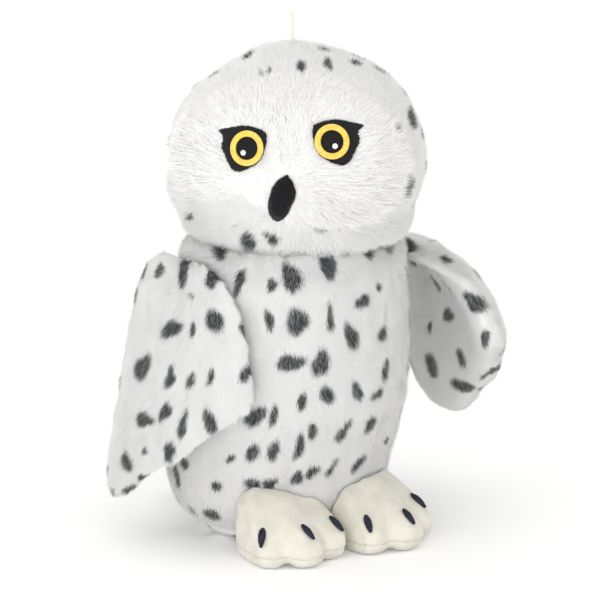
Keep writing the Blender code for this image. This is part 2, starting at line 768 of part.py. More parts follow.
def add_tail():
    """The short tail, a flat cushion sewn to the bottom of the back."""
    mesh_data = bmesh.new()
    bmesh.ops.create_uvsphere(mesh_data, u_segments=TAIL_SEGMENTS, v_segments=TAIL_RINGS, radius=1)
    back, height, middle = body_side_at(TAIL_ROOT_HEIGHT)
    root = Vector((0, middle + back - COVER, TAIL_ROOT_HEIGHT))
    along_way = Vector((0, math.cos(TAIL_SLOPE), -math.sin(TAIL_SLOPE)))
    out_way = Vector((0, math.sin(TAIL_SLOPE), math.cos(TAIL_SLOPE)))
    centre = (TAIL_CENTRE_SHARES[0] * TAIL_LENGTH, TAIL_CENTRE_SHARES[1] * TAIL_WIDTH)
    for vert in mesh_data.verts:
        ring_share = math.acos(max(-1, min(1, vert.co.z))) / math.pi
        turn_share = math.atan2(vert.co.y, vert.co.x) / (2 * math.pi) % 1
        outline = outline_at(TAIL_OUTLINE_SHARES, turn_share, (TAIL_LENGTH, TAIL_WIDTH))
        spread = math.sin(ring_share * math.pi) ** WING_FULLNESS_SHARE
        along = centre[0] + (outline[0] - centre[0]) * spread
        across = centre[1] + (outline[1] - centre[1]) * spread
        out = math.cos(ring_share * math.pi) * TAIL_THICKNESS / 2
        vert.co = root + along_way * along + Vector((across, 0, 0)) + out_way * out
    cut(add_mesh("tail", mesh_data, "plush"), bpy.data.objects["body_clearance"])


def body_side_at(height):
    """Half depth, half width and centre in Y of the body at a height."""
    rows = [(level[0], level[2], level[1], level[3]) for level in reversed(body_levels())]
    return table_at(rows, height)


def toe_lobes(angle):
    """How far a foot's edge swells at an angle from its front, as a factor: one lobe for each toe."""
    last_valley = FOOT_TOE_ANGLE * FOOT_TOE_COUNT / 2
    beyond = (abs(angle) - last_valley) / FOOT_TOE_ANGLE
    if beyond > 0:
        return 1 - FOOT_LOBE_SHARE * max(0, 1 - beyond)
    return 1 + FOOT_LOBE_SHARE * math.cos(2 * math.pi * angle / FOOT_TOE_ANGLE)


def toes_aside(side):
    """How far a foot's toes are turned on it."""
    return TOES_LEFT_ASIDE if side > 0 else TOES_RIGHT_ASIDE


def foot_place(side):
    """Where a foot's own axes stand: its heel end under the body, its toes to the front."""
    heel = Vector((side * FOOT_SPACING / 2 + FEET_ASIDE, FOOT_LENGTH - FOOT_TOE_REACH, 0))
    return Matrix.Translation(heel) @ Matrix.Rotation(FOOT_LEFT_TURN if side > 0 else FOOT_RIGHT_TURN, 4, "Z")


def foot_form(side, distance=0.0, rows=FOOT_LEVEL_SHARES, segments=FOOT_SEGMENTS):
    """A foot's cushion in place, its sole flat on the ground."""
    mesh_data = bmesh.new()
    steps = len(rows) + 1
    bmesh.ops.create_uvsphere(mesh_data, u_segments=segments, v_segments=steps, radius=1)
    for vert in mesh_data.verts:
        index = round(math.acos(max(-1, min(1, vert.co.z))) / math.pi * steps)
        height, width, toe, heel = rows[min(max(index - 1, 0), len(rows) - 1)]
        middle = -(toe + heel) / 2 * FOOT_LENGTH
        reach = (toe - heel) / 2 * FOOT_LENGTH
        if index in (0, steps):
            vert.co = (0, middle, FOOT_HEIGHT if index == 0 else 0)
            continue
        angle = math.atan2(vert.co.x, -vert.co.y)
        across = math.copysign(abs(math.sin(angle)) ** FOOT_SQUARENESS_SHARE, math.sin(angle))
        front = math.copysign(abs(math.cos(angle)) ** FOOT_SQUARENESS_SHARE, math.cos(angle))
        lobes = toe_lobes(angle - toes_aside(side))
        vert.co = (across * width * FOOT_WIDTH * lobes, middle - front * reach * lobes, height * FOOT_HEIGHT)
    bmesh.ops.transform(mesh_data, matrix=foot_place(side), verts=mesh_data.verts)
    return inset(mesh_data, distance) if distance else mesh_data


def fine_foot(side):
    """A foot's smooth surface, for its claws."""
    last = len(FOOT_LEVEL_SHARES) - 1
    rows = [tuple(smooth_between(FOOT_LEVEL_SHARES, last * step / FINE_ROWS)) for step in range(FINE_ROWS + 1)]
    mesh_data = foot_form(side, rows=rows, segments=FINE_SEGMENTS)
    tree = BVHTree.FromBMesh(mesh_data)
    mesh_data.free()
    return tree


def add_foot(side, word):
    """One foot: its upper, its sole, its stuffing and three claws."""
    body = bpy.data.objects["body_clearance"]
    upper = shell(add_mesh(f"foot_{word}_upper", foot_form(side), "velour"), FOOT_COVER)
    cut(upper, bpy.data.objects["below_foot_seam"])
    cut(upper, body)
    sole = shell(add_mesh(f"foot_{word}_sole", foot_form(side), "velour"), FOOT_COVER)
    cut(sole, bpy.data.objects["above_foot_seam"])
    cut(sole, body)
    filling = add_mesh(f"foot_{word}_stuffing", foot_form(side, FOOT_COVER + FILL_CLEARANCE), "filling")
    cut(filling, body)
    surface = fine_foot(side)
    place = foot_place(side)
    heights = CLAW_LEFT_HEIGHTS if side > 0 else CLAW_RIGHT_HEIGHTS
    for number, height in enumerate(heights):
        middle = Vector((0, -FOOT_LENGTH / 2, height))
        angle = (number - (FOOT_TOE_COUNT - 1) / 2) * FOOT_TOE_ANGLE * side + toes_aside(side)
        toward = place.to_3x3() @ Vector((math.sin(angle), -math.cos(angle), 0))
        frame = frame_on(surface, place @ middle, toward, 0)
        applique(
            f"claw_{word}_{number + 1}", "black_velour", surface, frame, CLAW_OUTLINE_SHARES,
            (CLAW_WIDTH, CLAW_LENGTH), SEAT_GAP, CLAW_THICKNESS, CLAW_SEGMENTS, CLAW_RINGS, 1,
        )


def frame_on(surface, middle, toward, tilt):
    """A frame on the surface where a line from the middle leaves it: across, up and out, at that point."""
    far = middle + toward * CUTTER_SIDE
    point, normal, _, _ = surface.ray_cast(far, -toward)
    if normal.dot(toward) < 0:
        normal = -normal
    up = (UP - normal * UP.dot(normal)).normalized()
    across = up.cross(normal).normalized()
    turned_up = up * math.cos(tilt) + across * math.sin(tilt)
    return point, turned_up.cross(normal).normalized(), turned_up, normal


def on_surface(surface, frame, across, up, height):
    """The point that lies at a height over the surface, beside the frame's own point."""
    point, across_way, up_way, out_way = frame
    start = point + across_way * across + up_way * up
    hit, _, _, _ = surface.ray_cast(start + out_way * CUT_OVERRUN * SURFACE_REACH_SHARE, -out_way)
    return hit + out_way * height


def applique(
    name, kind, surface, frame, outline, size, gap, thickness, segments, rings, fullness, low_share=1.0, mirror=1
):
    """A sewn-on piece that follows the surface: flat beneath and domed on top, inside an outline. A low_share under
    one thins it toward its upper end."""
    mesh_data = bmesh.new()
    bmesh.ops.create_uvsphere(mesh_data, u_segments=segments, v_segments=rings, radius=1)
    for vert in mesh_data.verts:
        ring_share = math.acos(max(-1, min(1, vert.co.z))) / math.pi
        turn_share = math.atan2(vert.co.y, vert.co.x) / (2 * math.pi) % 1
        across, up = outline_at(outline, turn_share, size)
        spread = math.sin(ring_share * math.pi) ** fullness
        rise = max(0, math.cos(ring_share * math.pi)) ** fullness
        if abs(ring_share - 0.5) < SAME_RING_SHARE:
            rise = EDGE_SHARE
        up_share = up * spread / size[1] + 0.5
        rise *= low_share * up_share + (1 - up_share) if low_share < 1 else 1
        vert.co = on_surface(surface, frame, across * spread * mirror, up * spread, gap + rise * thickness)
    return add_mesh(name, mesh_data, kind)


def round_shares(segments):
    """A circle's outline as shares of its diameter."""
    return [
        (math.cos(2 * math.pi * step / segments) / 2, math.sin(2 * math.pi * step / segments) / 2)
        for step in range(segments)
    ]


def add_eye(surface, word, side, azimuth, height):
    """One eye: a black patch with the ring, the pupil and the glint embroidered on it."""
    toward = Matrix.Rotation(HEAD_TURN + azimuth, 3, "Z") @ Vector((0, -1, 0))
    middle = Vector((HEAD_CENTRE.x, HEAD_CENTRE.y, height))
    frame = frame_on(surface, middle, toward, 0)
    applique(
        f"eye_patch_{word}", "black_velour", surface, frame, EYE_PATCH_OUTLINE_SHARES,
        (EYE_PATCH_WIDTH, EYE_PATCH_HEIGHT), SEAT_GAP, EYE_PATCH_THICKNESS, EYE_PATCH_SEGMENTS, FLAT_RINGS,
        FLAT_FULLNESS_SHARE, mirror=side,
    )
    ring_base = 2 * SEAT_GAP + EYE_PATCH_THICKNESS
    add_ring(f"eye_ring_{word}", surface, frame, ring_base)
    circle = round_shares(EYE_SEGMENTS)
    applique(
        f"eye_pupil_{word}", "black_thread", surface, frame, circle, (2 * EYE_PUPIL_RADIUS, 2 * EYE_PUPIL_RADIUS),
        ring_base, EYE_PUPIL_THICKNESS, EYE_SEGMENTS, FLAT_RINGS, FLAT_FULLNESS_SHARE,
    )
    point, across_way, up_way, out_way = frame
    glint_point = point + across_way * EYE_GLINT_OUT * side - up_way * EYE_GLINT_DROP
    applique(
        f"eye_glint_{word}", "white_thread", surface, (glint_point, across_way, up_way, out_way), circle,
        (2 * EYE_GLINT_RADIUS, 2 * EYE_GLINT_RADIUS), ring_base + EYE_PUPIL_THICKNESS + SEAT_GAP,
        EYE_GLINT_THICKNESS, EYE_SEGMENTS // 2, FLAT_RINGS, FLAT_FULLNESS_SHARE,
    )


def add_ring(name, surface, frame, gap):
    """The embroidered ring of an eye, a torus laid on the surface."""
    half_width = EYE_RING_WIDTH / 2
    bpy.ops.mesh.primitive_torus_add(
        major_segments=EYE_SEGMENTS, minor_segments=EYE_RING_SEGMENTS, major_radius=EYE_RING_RADIUS - half_width,
        minor_radius=half_width,
    )
    torus = bpy.context.object
    mesh_data = bmesh.new()
    mesh_data.from_mesh(torus.data)
    bpy.data.objects.remove(torus)
    for vert in mesh_data.verts:
        rise = (vert.co.z / EYE_RING_WIDTH + 0.5) * EYE_RING_THICKNESS
        vert.co = on_surface(surface, frame, vert.co.x, vert.co.y, gap + rise)
    add_mesh(name, mesh_data, "embroidery")


def add_face_details():
    """The eyes and the beak, sewn on the face panel."""
    surface = fine_head()
    add_eye(surface, "right", -1, EYE_RIGHT_AZIMUTH, HEAD_CENTRE.z + EYE_RIGHT_RISE)
    add_eye(surface, "left", 1, EYE_LEFT_AZIMUTH, HEAD_CENTRE.z + EYE_LEFT_RISE)
    toward = Matrix.Rotation(HEAD_TURN + BEAK_AZIMUTH, 3, "Z") @ Vector((0, -1, 0))
    frame = frame_on(surface, Vector((HEAD_CENTRE.x, HEAD_CENTRE.y, HEAD_CENTRE.z - BEAK_DROP)), toward, BEAK_TILT)
    applique(
        "beak", "black_velour", surface, frame, BEAK_OUTLINE_SHARES, (BEAK_WIDTH, BEAK_LENGTH), SEAT_GAP,
        BEAK_THICKNESS, BEAK_SEGMENTS, BEAK_RINGS, 1, low_share=BEAK_TOP_SHARE,
    )


def add_loop():
    """The thread loop that the owl hangs from, sewn in at the crown."""
    above = HEAD_PLACE @ Vector((LOOP_ASIDE, 0, HEAD_HEIGHT - HEAD_BOTTOM_DROP)) + UP * HEAD_HEIGHT
    crown = fine_head().ray_cast(above, DOWN)[0]
    curve = bpy.data.curves.new("hang_loop", "CURVE")
    curve.dimensions = "3D"
    curve.bevel_depth = LOOP_CORD_RADIUS
    curve.bevel_resolution = 2
    curve.use_fill_caps = True
    curve.materials.append(material_of("loop_thread"))
    spline = curve.splines.new("POLY")
    spline.points.add(LOOP_POINTS - 1)
    for step, point in enumerate(spline.points):
        angle = math.pi * step / (LOOP_POINTS - 1)
        across = -LOOP_HALF_WIDTH * math.cos(angle)
        rise = LOOP_HEIGHT * math.sin(angle) ** LOOP_FULLNESS_SHARE
        point.co = (across, 0, rise, 1)
    loop = bpy.data.objects.new("hang_loop", curve)
    PARTS.objects.link(loop)
    loop.location = crown + UP * SEAT_GAP
    loop.rotation_euler = (0, 0, LOOP_FACING + math.pi / 2)


def main():
    add_body()
    add_neck_joint()
    add_head()
    add_face_details()
    add_loop()
    add_cutter("body_clearance", body_form(-SEAT_GAP))
    half_space("below_foot_seam", (0, 0, FOOT_SOLE_HEIGHT + SEAM_GAP / 2), DOWN)
    half_space("above_foot_seam", (0, 0, FOOT_SOLE_HEIGHT - SEAM_GAP / 2), UP)
    for side, word, rest in ((-1, "right", WING_REST_RIGHT), (1, "left", WING_REST_LEFT)):
        add_wing(side, word, rest)
        add_foot(side, word)
    add_tail()


for old in list(bpy.data.objects):
    bpy.data.objects.remove(old)
PARTS = bpy.data.collections.new("plush_owl")
CUTTERS = bpy.data.collections.new("cutters")
for collection in (PARTS, CUTTERS):
    bpy.context.scene.collection.children.link(collection)
main()
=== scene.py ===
import json
import math

import bpy
import numpy as np
from mathutils import Matrix, Vector, noise
from mathutils.bvhtree import BVHTree
from mathutils.kdtree import KDTree


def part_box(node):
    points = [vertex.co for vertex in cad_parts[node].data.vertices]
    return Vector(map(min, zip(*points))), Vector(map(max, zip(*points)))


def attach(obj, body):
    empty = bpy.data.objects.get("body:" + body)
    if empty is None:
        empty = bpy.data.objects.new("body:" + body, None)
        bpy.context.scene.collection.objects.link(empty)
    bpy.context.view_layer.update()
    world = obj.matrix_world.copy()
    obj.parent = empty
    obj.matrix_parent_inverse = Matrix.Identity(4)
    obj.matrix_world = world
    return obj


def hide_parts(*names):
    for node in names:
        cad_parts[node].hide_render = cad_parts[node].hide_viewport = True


for startObject in ("Cube", "Light", "Camera"):
    if startObject in bpy.data.objects:
        bpy.data.objects.remove(bpy.data.objects[startObject])

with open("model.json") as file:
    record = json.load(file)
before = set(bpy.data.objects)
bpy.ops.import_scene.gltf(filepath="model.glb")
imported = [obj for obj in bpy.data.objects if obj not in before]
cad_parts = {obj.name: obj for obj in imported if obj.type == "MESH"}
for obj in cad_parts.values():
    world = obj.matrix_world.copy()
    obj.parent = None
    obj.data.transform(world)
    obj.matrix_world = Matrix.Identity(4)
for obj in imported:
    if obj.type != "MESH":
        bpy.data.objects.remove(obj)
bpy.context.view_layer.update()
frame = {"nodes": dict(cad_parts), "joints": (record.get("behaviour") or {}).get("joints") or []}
nodes = frame["nodes"]
rng = np.random.default_rng(41)
print("frame loaded:", len(nodes), "nodes")

# camera, at the photo's angle
view = {
    "azimuth": math.radians(-30),
    "elevation": math.radians(14),
    "distance": 3.048,
    "lens": 300,
    "middleRight": 0.0108,
    "middleUp": 0.1374,
    "planeForward": 0.048,
    "pixel": 0.0006,  # metres of the object's middle plane in one pixel of a 600 px frame
    "half": 300,
}
turn, tilt = view["azimuth"], view["elevation"]
lookWay = Vector((math.sin(turn) * math.cos(tilt), -math.cos(turn) * math.cos(tilt), math.sin(tilt)))
rightWay = Vector((math.cos(turn), math.sin(turn), 0))
upWay = Vector((-math.sin(turn) * math.sin(tilt), math.cos(turn) * math.sin(tilt), math.cos(tilt)))
cameraPoint = rightWay * view["middleRight"] + upWay * view["middleUp"] + lookWay * view["distance"]

cameraData = bpy.data.cameras.new("photoCamera")
cameraData.lens = view["lens"]
cameraData.sensor_width = 36
cameraData.clip_start = 0.1
cameraData.clip_end = 60
photoCamera = bpy.data.objects.new("photoCamera", cameraData)
bpy.context.scene.collection.objects.link(photoCamera)
photoCamera.location = cameraPoint
photoCamera.rotation_euler = Matrix((rightWay, upWay, lookWay)).transposed().to_euler()
bpy.context.scene.camera = photoCamera


def pixelRay(x, y):
    # the way from the camera through one pixel of the 600 px frame
    point = (
        rightWay * (view["middleRight"] + (x - view["half"]) * view["pixel"])
        + upWay * (view["middleUp"] - (y - view["half"]) * view["pixel"])
        + lookWay * view["planeForward"]
    )
    return (point - cameraPoint).normalized()


# materials
def newMaterial(name, colour, roughness, sheen=0.0, specular=0.3):
    material = bpy.data.materials.new(name)
    material.use_nodes = True
    shader = material.node_tree.nodes["Principled BSDF"]
    shader.inputs["Base Color"].default_value = (*colour, 1)
    shader.inputs["Roughness"].default_value = roughness
    shader.inputs["Specular IOR Level"].default_value = specular
    shader.inputs["Sheen Weight"].default_value = sheen
    shader.inputs["Sheen Roughness"].default_value = 0.5
    return material, material.node_tree, shader


def addNode(tree, kind, inputs=None, **settings):
    node = tree.nodes.new(kind)
    for key, value in settings.items():
        setattr(node, key, value)
    for key, value in (inputs or {}).items():
        node.inputs[key].default_value = value
    return node


def addBump(tree, shader, height, strength, distance):
    bump = addNode(tree, "ShaderNodeBump", {"Strength": strength, "Distance": distance})
    tree.links.new(height, bump.inputs["Height"])
    tree.links.new(bump.outputs["Normal"], shader.inputs["Normal"])


def mottled(tree, shader, darker, lighter, scale, detail=4):
    # two close shades of one colour, mixed by noise, and the noise for a bump
    place = addNode(tree, "ShaderNodeTexCoord")
    cloud = addNode(tree, "ShaderNodeTexNoise", {"Scale": scale, "Detail": detail})
    ramp = addNode(tree, "ShaderNodeValToRGB")
    ramp.color_ramp.elements[0].color = (*darker, 1)
    ramp.color_ramp.elements[1].color = (*lighter, 1)
    ramp.color_ramp.elements[0].position = 0.35
    ramp.color_ramp.elements[1].position = 0.65
    tree.links.new(place.outputs["Object"], cloud.inputs["Vector"])
    tree.links.new(cloud.outputs["Fac"], ramp.inputs["Fac"])
    tree.links.new(ramp.outputs["Color"], shader.inputs["Base Color"])
    return cloud.outputs["Fac"], place.outputs["Object"]


def pileMaterial(name, tint):
    # the fibres' own colours, with a faint cloudiness of the dyed white
    material, tree, shader = newMaterial(name, tint, 0.8, 0.15, 0.2)
    fibre = addNode(tree, "ShaderNodeAttribute", attribute_name="pileColour")
    place = addNode(tree, "ShaderNodeTexCoord")
    cloud = addNode(tree, "ShaderNodeTexNoise", {"Scale": 60.0, "Detail": 3.0})
    shade = addNode(tree, "ShaderNodeMapRange", {"To Min": 0.95, "To Max": 1.03})
    scale = addNode(tree, "ShaderNodeVectorMath", operation="SCALE")
    tree.links.new(place.outputs["Object"], cloud.inputs["Vector"])
    tree.links.new(cloud.outputs["Fac"], shade.inputs["Value"])
    tree.links.new(fibre.outputs["Color"], scale.inputs[0])
    tree.links.new(shade.outputs["Result"], scale.inputs["Scale"])
    tree.links.new(scale.outputs["Vector"], shader.inputs["Base Color"])
    return material


plushMaterial = pileMaterial("plushPile", (0.86, 0.86, 0.85))
facePlushMaterial = pileMaterial("facePile", (0.88, 0.875, 0.86))
blackPileMaterial = pileMaterial("blackPile", (0.012, 0.012, 0.014))

velourMaterial, velourTree, velourShader = newMaterial("creamVelour", (0.70, 0.68, 0.60), 0.9, 0.35, 0.2)
velourPlace = mottled(velourTree, velourShader, (0.66, 0.635, 0.55), (0.735, 0.715, 0.635), 90.0)[1]
velourFine = addNode(velourTree, "ShaderNodeTexNoise", {"Scale": 900.0, "Detail": 3.0})
velourTree.links.new(velourPlace, velourFine.inputs["Vector"])
addBump(velourTree, velourShader, velourFine.outputs["Fac"], 0.5, 0.0004)


def mottledMaterial(name, colour, darker, lighter, scale, bump, roughness, sheen, specular, detail=4):
    # two shades, and a bump that follows them
    material, tree, shader = newMaterial(name, colour, roughness, sheen, specular)
    addBump(tree, shader, mottled(tree, shader, darker, lighter, scale, detail)[0], *bump)
    return material


def threadMaterial(name, darker, lighter, roughness):
    # sewing thread: short bright and dark runs
    return mottledMaterial(name, lighter, darker, lighter, 700.0, (0.4, 0.0002), roughness, 0.0, 0.2, 2)


yellowThread = threadMaterial("yellowThread", (0.85, 0.53, 0.07), (0.92, 0.69, 0.19), 0.5)
blackThread = threadMaterial("blackThread", (0.004, 0.004, 0.005), (0.012, 0.012, 0.014), 0.75)
clawThread = threadMaterial("clawThread", (0.008, 0.009, 0.018), (0.026, 0.028, 0.045), 0.5)
whiteThread = threadMaterial("whiteThread", (0.78, 0.79, 0.80), (0.90, 0.90, 0.90), 0.5)

wadMaterial = mottledMaterial(
    "fibreWad", (0.85, 0.85, 0.83), (0.78, 0.78, 0.76), (0.88, 0.88, 0.87), 120.0,
    (0.8, 0.002), 0.95, 0.3, 0.1,
)
pouchMaterial = mottledMaterial(
    "pouchCloth", (0.60, 0.58, 0.50), (0.55, 0.53, 0.45), (0.64, 0.62, 0.55), 400.0,
    (0.5, 0.0006), 0.9, 0.1, 0.2,
)
plasticMaterial = mottledMaterial(
    "jointPlastic", (0.62, 0.64, 0.66), (0.60, 0.62, 0.64), (0.65, 0.67, 0.69), 200.0,
    (0.15, 0.0002), 0.38, 0.0, 0.5,
)

loopMaterial, loopTree, loopShader = newMaterial("loopThread", (0.82, 0.83, 0.62), 0.6, 0.2, 0.3)
loopPlace = addNode(loopTree, "ShaderNodeTexCoord")
loopWave = {"Scale": 380.0, "Distortion": 1.5, "Detail": 2.0}
loopTwist = addNode(loopTree, "ShaderNodeTexWave", loopWave, bands_direction="DIAGONAL")
loopRamp = addNode(loopTree, "ShaderNodeValToRGB")
loopRamp.color_ramp.elements[0].color = (0.70, 0.71, 0.50, 1)
loopRamp.color_ramp.elements[1].color = (0.86, 0.87, 0.68, 1)
loopTree.links.new(loopPlace.outputs["Object"], loopTwist.inputs["Vector"])
loopTree.links.new(loopTwist.outputs["Fac"], loopRamp.inputs["Fac"])
loopTree.links.new(loopRamp.outputs["Color"], loopShader.inputs["Base Color"])
addBump(loopTree, loopShader, loopTwist.outputs["Fac"], 0.5, 0.0003)

# hanging loop
loopSettings = {
    "height": 0.0165, "halfWidth": 0.0032, "radius": 0.0008, "points": 23, "fullness": 0.6,
    "facing": math.radians(60),
}
loopLow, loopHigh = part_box("hang_loop")
loopMiddle = (loopLow + loopHigh) / 2
loopAcross = Vector((math.cos(loopSettings["facing"]), math.sin(loopSettings["facing"]), 0))
loopPoints = []
for step in range(loopSettings["points"]):
    angle = math.pi * step / (loopSettings["points"] - 1)
    rise = loopSettings["height"] * math.sin(angle) ** loopSettings["fullness"]
    foot = Vector((loopMiddle.x, loopMiddle.y, loopLow.z))
    loopPoints.append(foot - loopAcross * loopSettings["halfWidth"] * math.cos(angle) + Vector((0, 0, rise)))
loopCurve = bpy.data.curves.new("hangLoop", "CURVE")
loopCurve.dimensions = "3D"
loopCurve.bevel_depth = loopSettings["radius"]
loopCurve.bevel_resolution = 4
loopCurve.use_fill_caps = True
loopSpline = loopCurve.splines.new("POLY")
loopSpline.points.add(len(loopPoints) - 1)
for splinePoint, point in zip(loopSpline.points, loopPoints):
    splinePoint.co = (*point, 1)
hangLoop = bpy.data.objects.new("hangLoop", loopCurve)
bpy.context.scene.collection.objects.link(hangLoop)
loopCurve.materials.append(loopMaterial)
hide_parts("hang_loop")
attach(hangLoop, "head")


# skins: the cloth that the pile stands on
def selectOnly(pieces):
    # selects these pieces, the first of them as the active one
    bpy.ops.object.select_all(action="DESELECT")
    for piece in pieces:
        piece.select_set(True)
    bpy.context.view_layer.objects.active = pieces[0]


def joinedCopy(name, members):
    copies = []
    for member in members:
        copy = bpy.data.objects.new(name, nodes[member].data.copy())
        copy.data.materials.clear()
        bpy.context.scene.collection.objects.link(copy)
        copies.append(copy)
    selectOnly(copies)
    if len(copies) > 1:
        bpy.ops.object.join()
    return copies[0]


def roundedSkin(name, members, voxel, smoothing):
    # one closed skin round the CAD pieces, remeshed evenly and smoothed
    skin = joinedCopy(name, members)
    skin.data.remesh_voxel_size = voxel
    bpy.ops.object.voxel_remesh()
    bpy.ops.object.mode_set(mode="EDIT")
    bpy.ops.mesh.select_all(action="SELECT")
    bpy.ops.mesh.separate(type="LOOSE")
    bpy.ops.object.mode_set(mode="OBJECT")
    islands = sorted(bpy.context.selected_objects, key=lambda item: item.dimensions.length)
    skin = islands.pop()
    for island in islands:
        bpy.data.objects.remove(island)
    bpy.context.view_layer.objects.active = skin
    if smoothing:
        modifier = skin.modifiers.new("smoothed", "SMOOTH")
        modifier.factor = 0.5
        modifier.iterations = smoothing
        bpy.ops.object.modifier_apply(modifier=modifier.name)
    skin.name = name
    return skin


def smoothShaded(piece):
    piece.data.polygons.foreach_set("use_smooth", np.ones(len(piece.data.polygons), bool))


def readSkin(skin):
    # arrays of the skin's points, normals and four-sided faces
    mesh = skin.data
    points = np.empty(len(mesh.vertices) * 3)
    mesh.vertices.foreach_get("co", points)
    ways = np.empty(len(mesh.vertices) * 3)
    mesh.vertices.foreach_get("normal", ways)
    corners = np.empty(len(mesh.polygons) * 4, np.int64)
    mesh.polygons.foreach_get("vertices", corners)
    return points.reshape(-1, 3), ways.reshape(-1, 3), corners.reshape(-1, 4)


def nodeTree(names):
    points, faces = [], []
    for name in names:
        mesh = nodes[name].data
        start = len(points)
        points.extend(vertex.co.copy() for vertex in mesh.vertices)
        faces.extend([start + corner for corner in polygon.vertices] for polygon in mesh.polygons)
    return BVHTree.FromPolygons(points, faces)


def treeOf(points, quads):
    return BVHTree.FromPolygons(points.tolist(), quads.tolist())


def distancesTo(names, points):
    tree = nodeTree(names)
    return np.array([tree.find_nearest(point)[3] for point in points.tolist()])


def unit(ways):
    return ways / np.maximum(np.linalg.norm(ways, axis=-1, keepdims=True), 1e-9)


def flat(ways, normals):
    # the part of each way that lies in the surface, one long
    return unit(ways - normals * (ways * normals).sum(axis=-1, keepdims=True))


def normalsOf(points, quads):
    ways = np.cross(points[quads[:, 2]] - points[quads[:, 0]], points[quads[:, 3]] - points[quads[:, 1]])
    summed = np.zeros_like(points)
    for corner in range(4):
        np.add.at(summed, quads[:, corner], ways)
    return unit(summed)


def evened(values, quads, rounds):
    # each point's value drawn to the mean of the faces round it, some rounds over
    for _ in range(rounds):
        summed, count = np.zeros(len(values)), np.zeros(len(values))
        mean = values[quads].mean(axis=1)
        for corner in range(4):
            np.add.at(summed, quads[:, corner], mean)
            np.add.at(count, quads[:, corner], 1)
        values = summed / np.maximum(count, 1)
    return values


roomSettings = {"least": 0.0002, "tried": (0.2, 0.4, 0.6, 0.8, 1.0), "clear": 0.9, "rounds": 4}


def roomInside(points, normals, quads, depth):
    # how deep the cloth can sink at each point without meeting the cloth of the other side
    tree = treeOf(points, quads)
    room = np.full(len(points), roomSettings["least"])
    for share in roomSettings["tried"]:
        deep = depth * share + clothSettings["thickness"]
        inner = points - normals * deep[:, None]
        near = np.array([tree.find_nearest(point)[3] for point in inner.tolist()])
        room = np.where(near > deep * roomSettings["clear"], depth * share, room)
    return np.minimum(evened(room, quads, roomSettings["rounds"]), depth)


def between(low, high, values):
    share = np.clip((values - low) / (high - low), 0, 1)
    return share * share * (3 - 2 * share)


def cloudAt(points, size, seed):
    # smooth noise from -1 to 1 at each point, its lumps about as wide as size
    shift = Vector((seed * 7.3, seed * 3.1, seed * 5.7))
    return np.array([noise.noise(Vector(point) / size + shift) for point in points.tolist()])


def makeMesh(name, points, quads, triangles, uvs=None, colours=None, ways=None):
    mesh = bpy.data.meshes.new(name)
    mesh.vertices.add(len(points))
    mesh.vertices.foreach_set("co", points.astype(np.float32).ravel())
    corners = np.concatenate([quads.ravel(), triangles.ravel()]).astype(np.int32)
    mesh.loops.add(len(corners))
    mesh.loops.foreach_set("vertex_index", corners)
    starts = np.concatenate([np.arange(len(quads)) * 4, len(quads) * 4 + np.arange(len(triangles)) * 3])
    mesh.polygons.add(len(starts))
    mesh.polygons.foreach_set("loop_start", starts.astype(np.int32))
    mesh.update(calc_edges=True)
    if uvs is not None:
        layer = mesh.uv_layers.new(name="OFBake")
        layer.data.foreach_set("uv", uvs[corners].astype(np.float32).ravel())
    if colours is not None:
        attribute = mesh.attributes.new("pileColour", "FLOAT_COLOR", "POINT")
        attribute.data.foreach_set("color", colours.astype(np.float32).ravel())
    if ways is not None:  # fibres take their light as the cloth under them does
        mesh.normals_split_custom_set_from_vertices(ways)
    made = bpy.data.objects.new(name, mesh)
    bpy.context.scene.collection.objects.link(made)
    return made


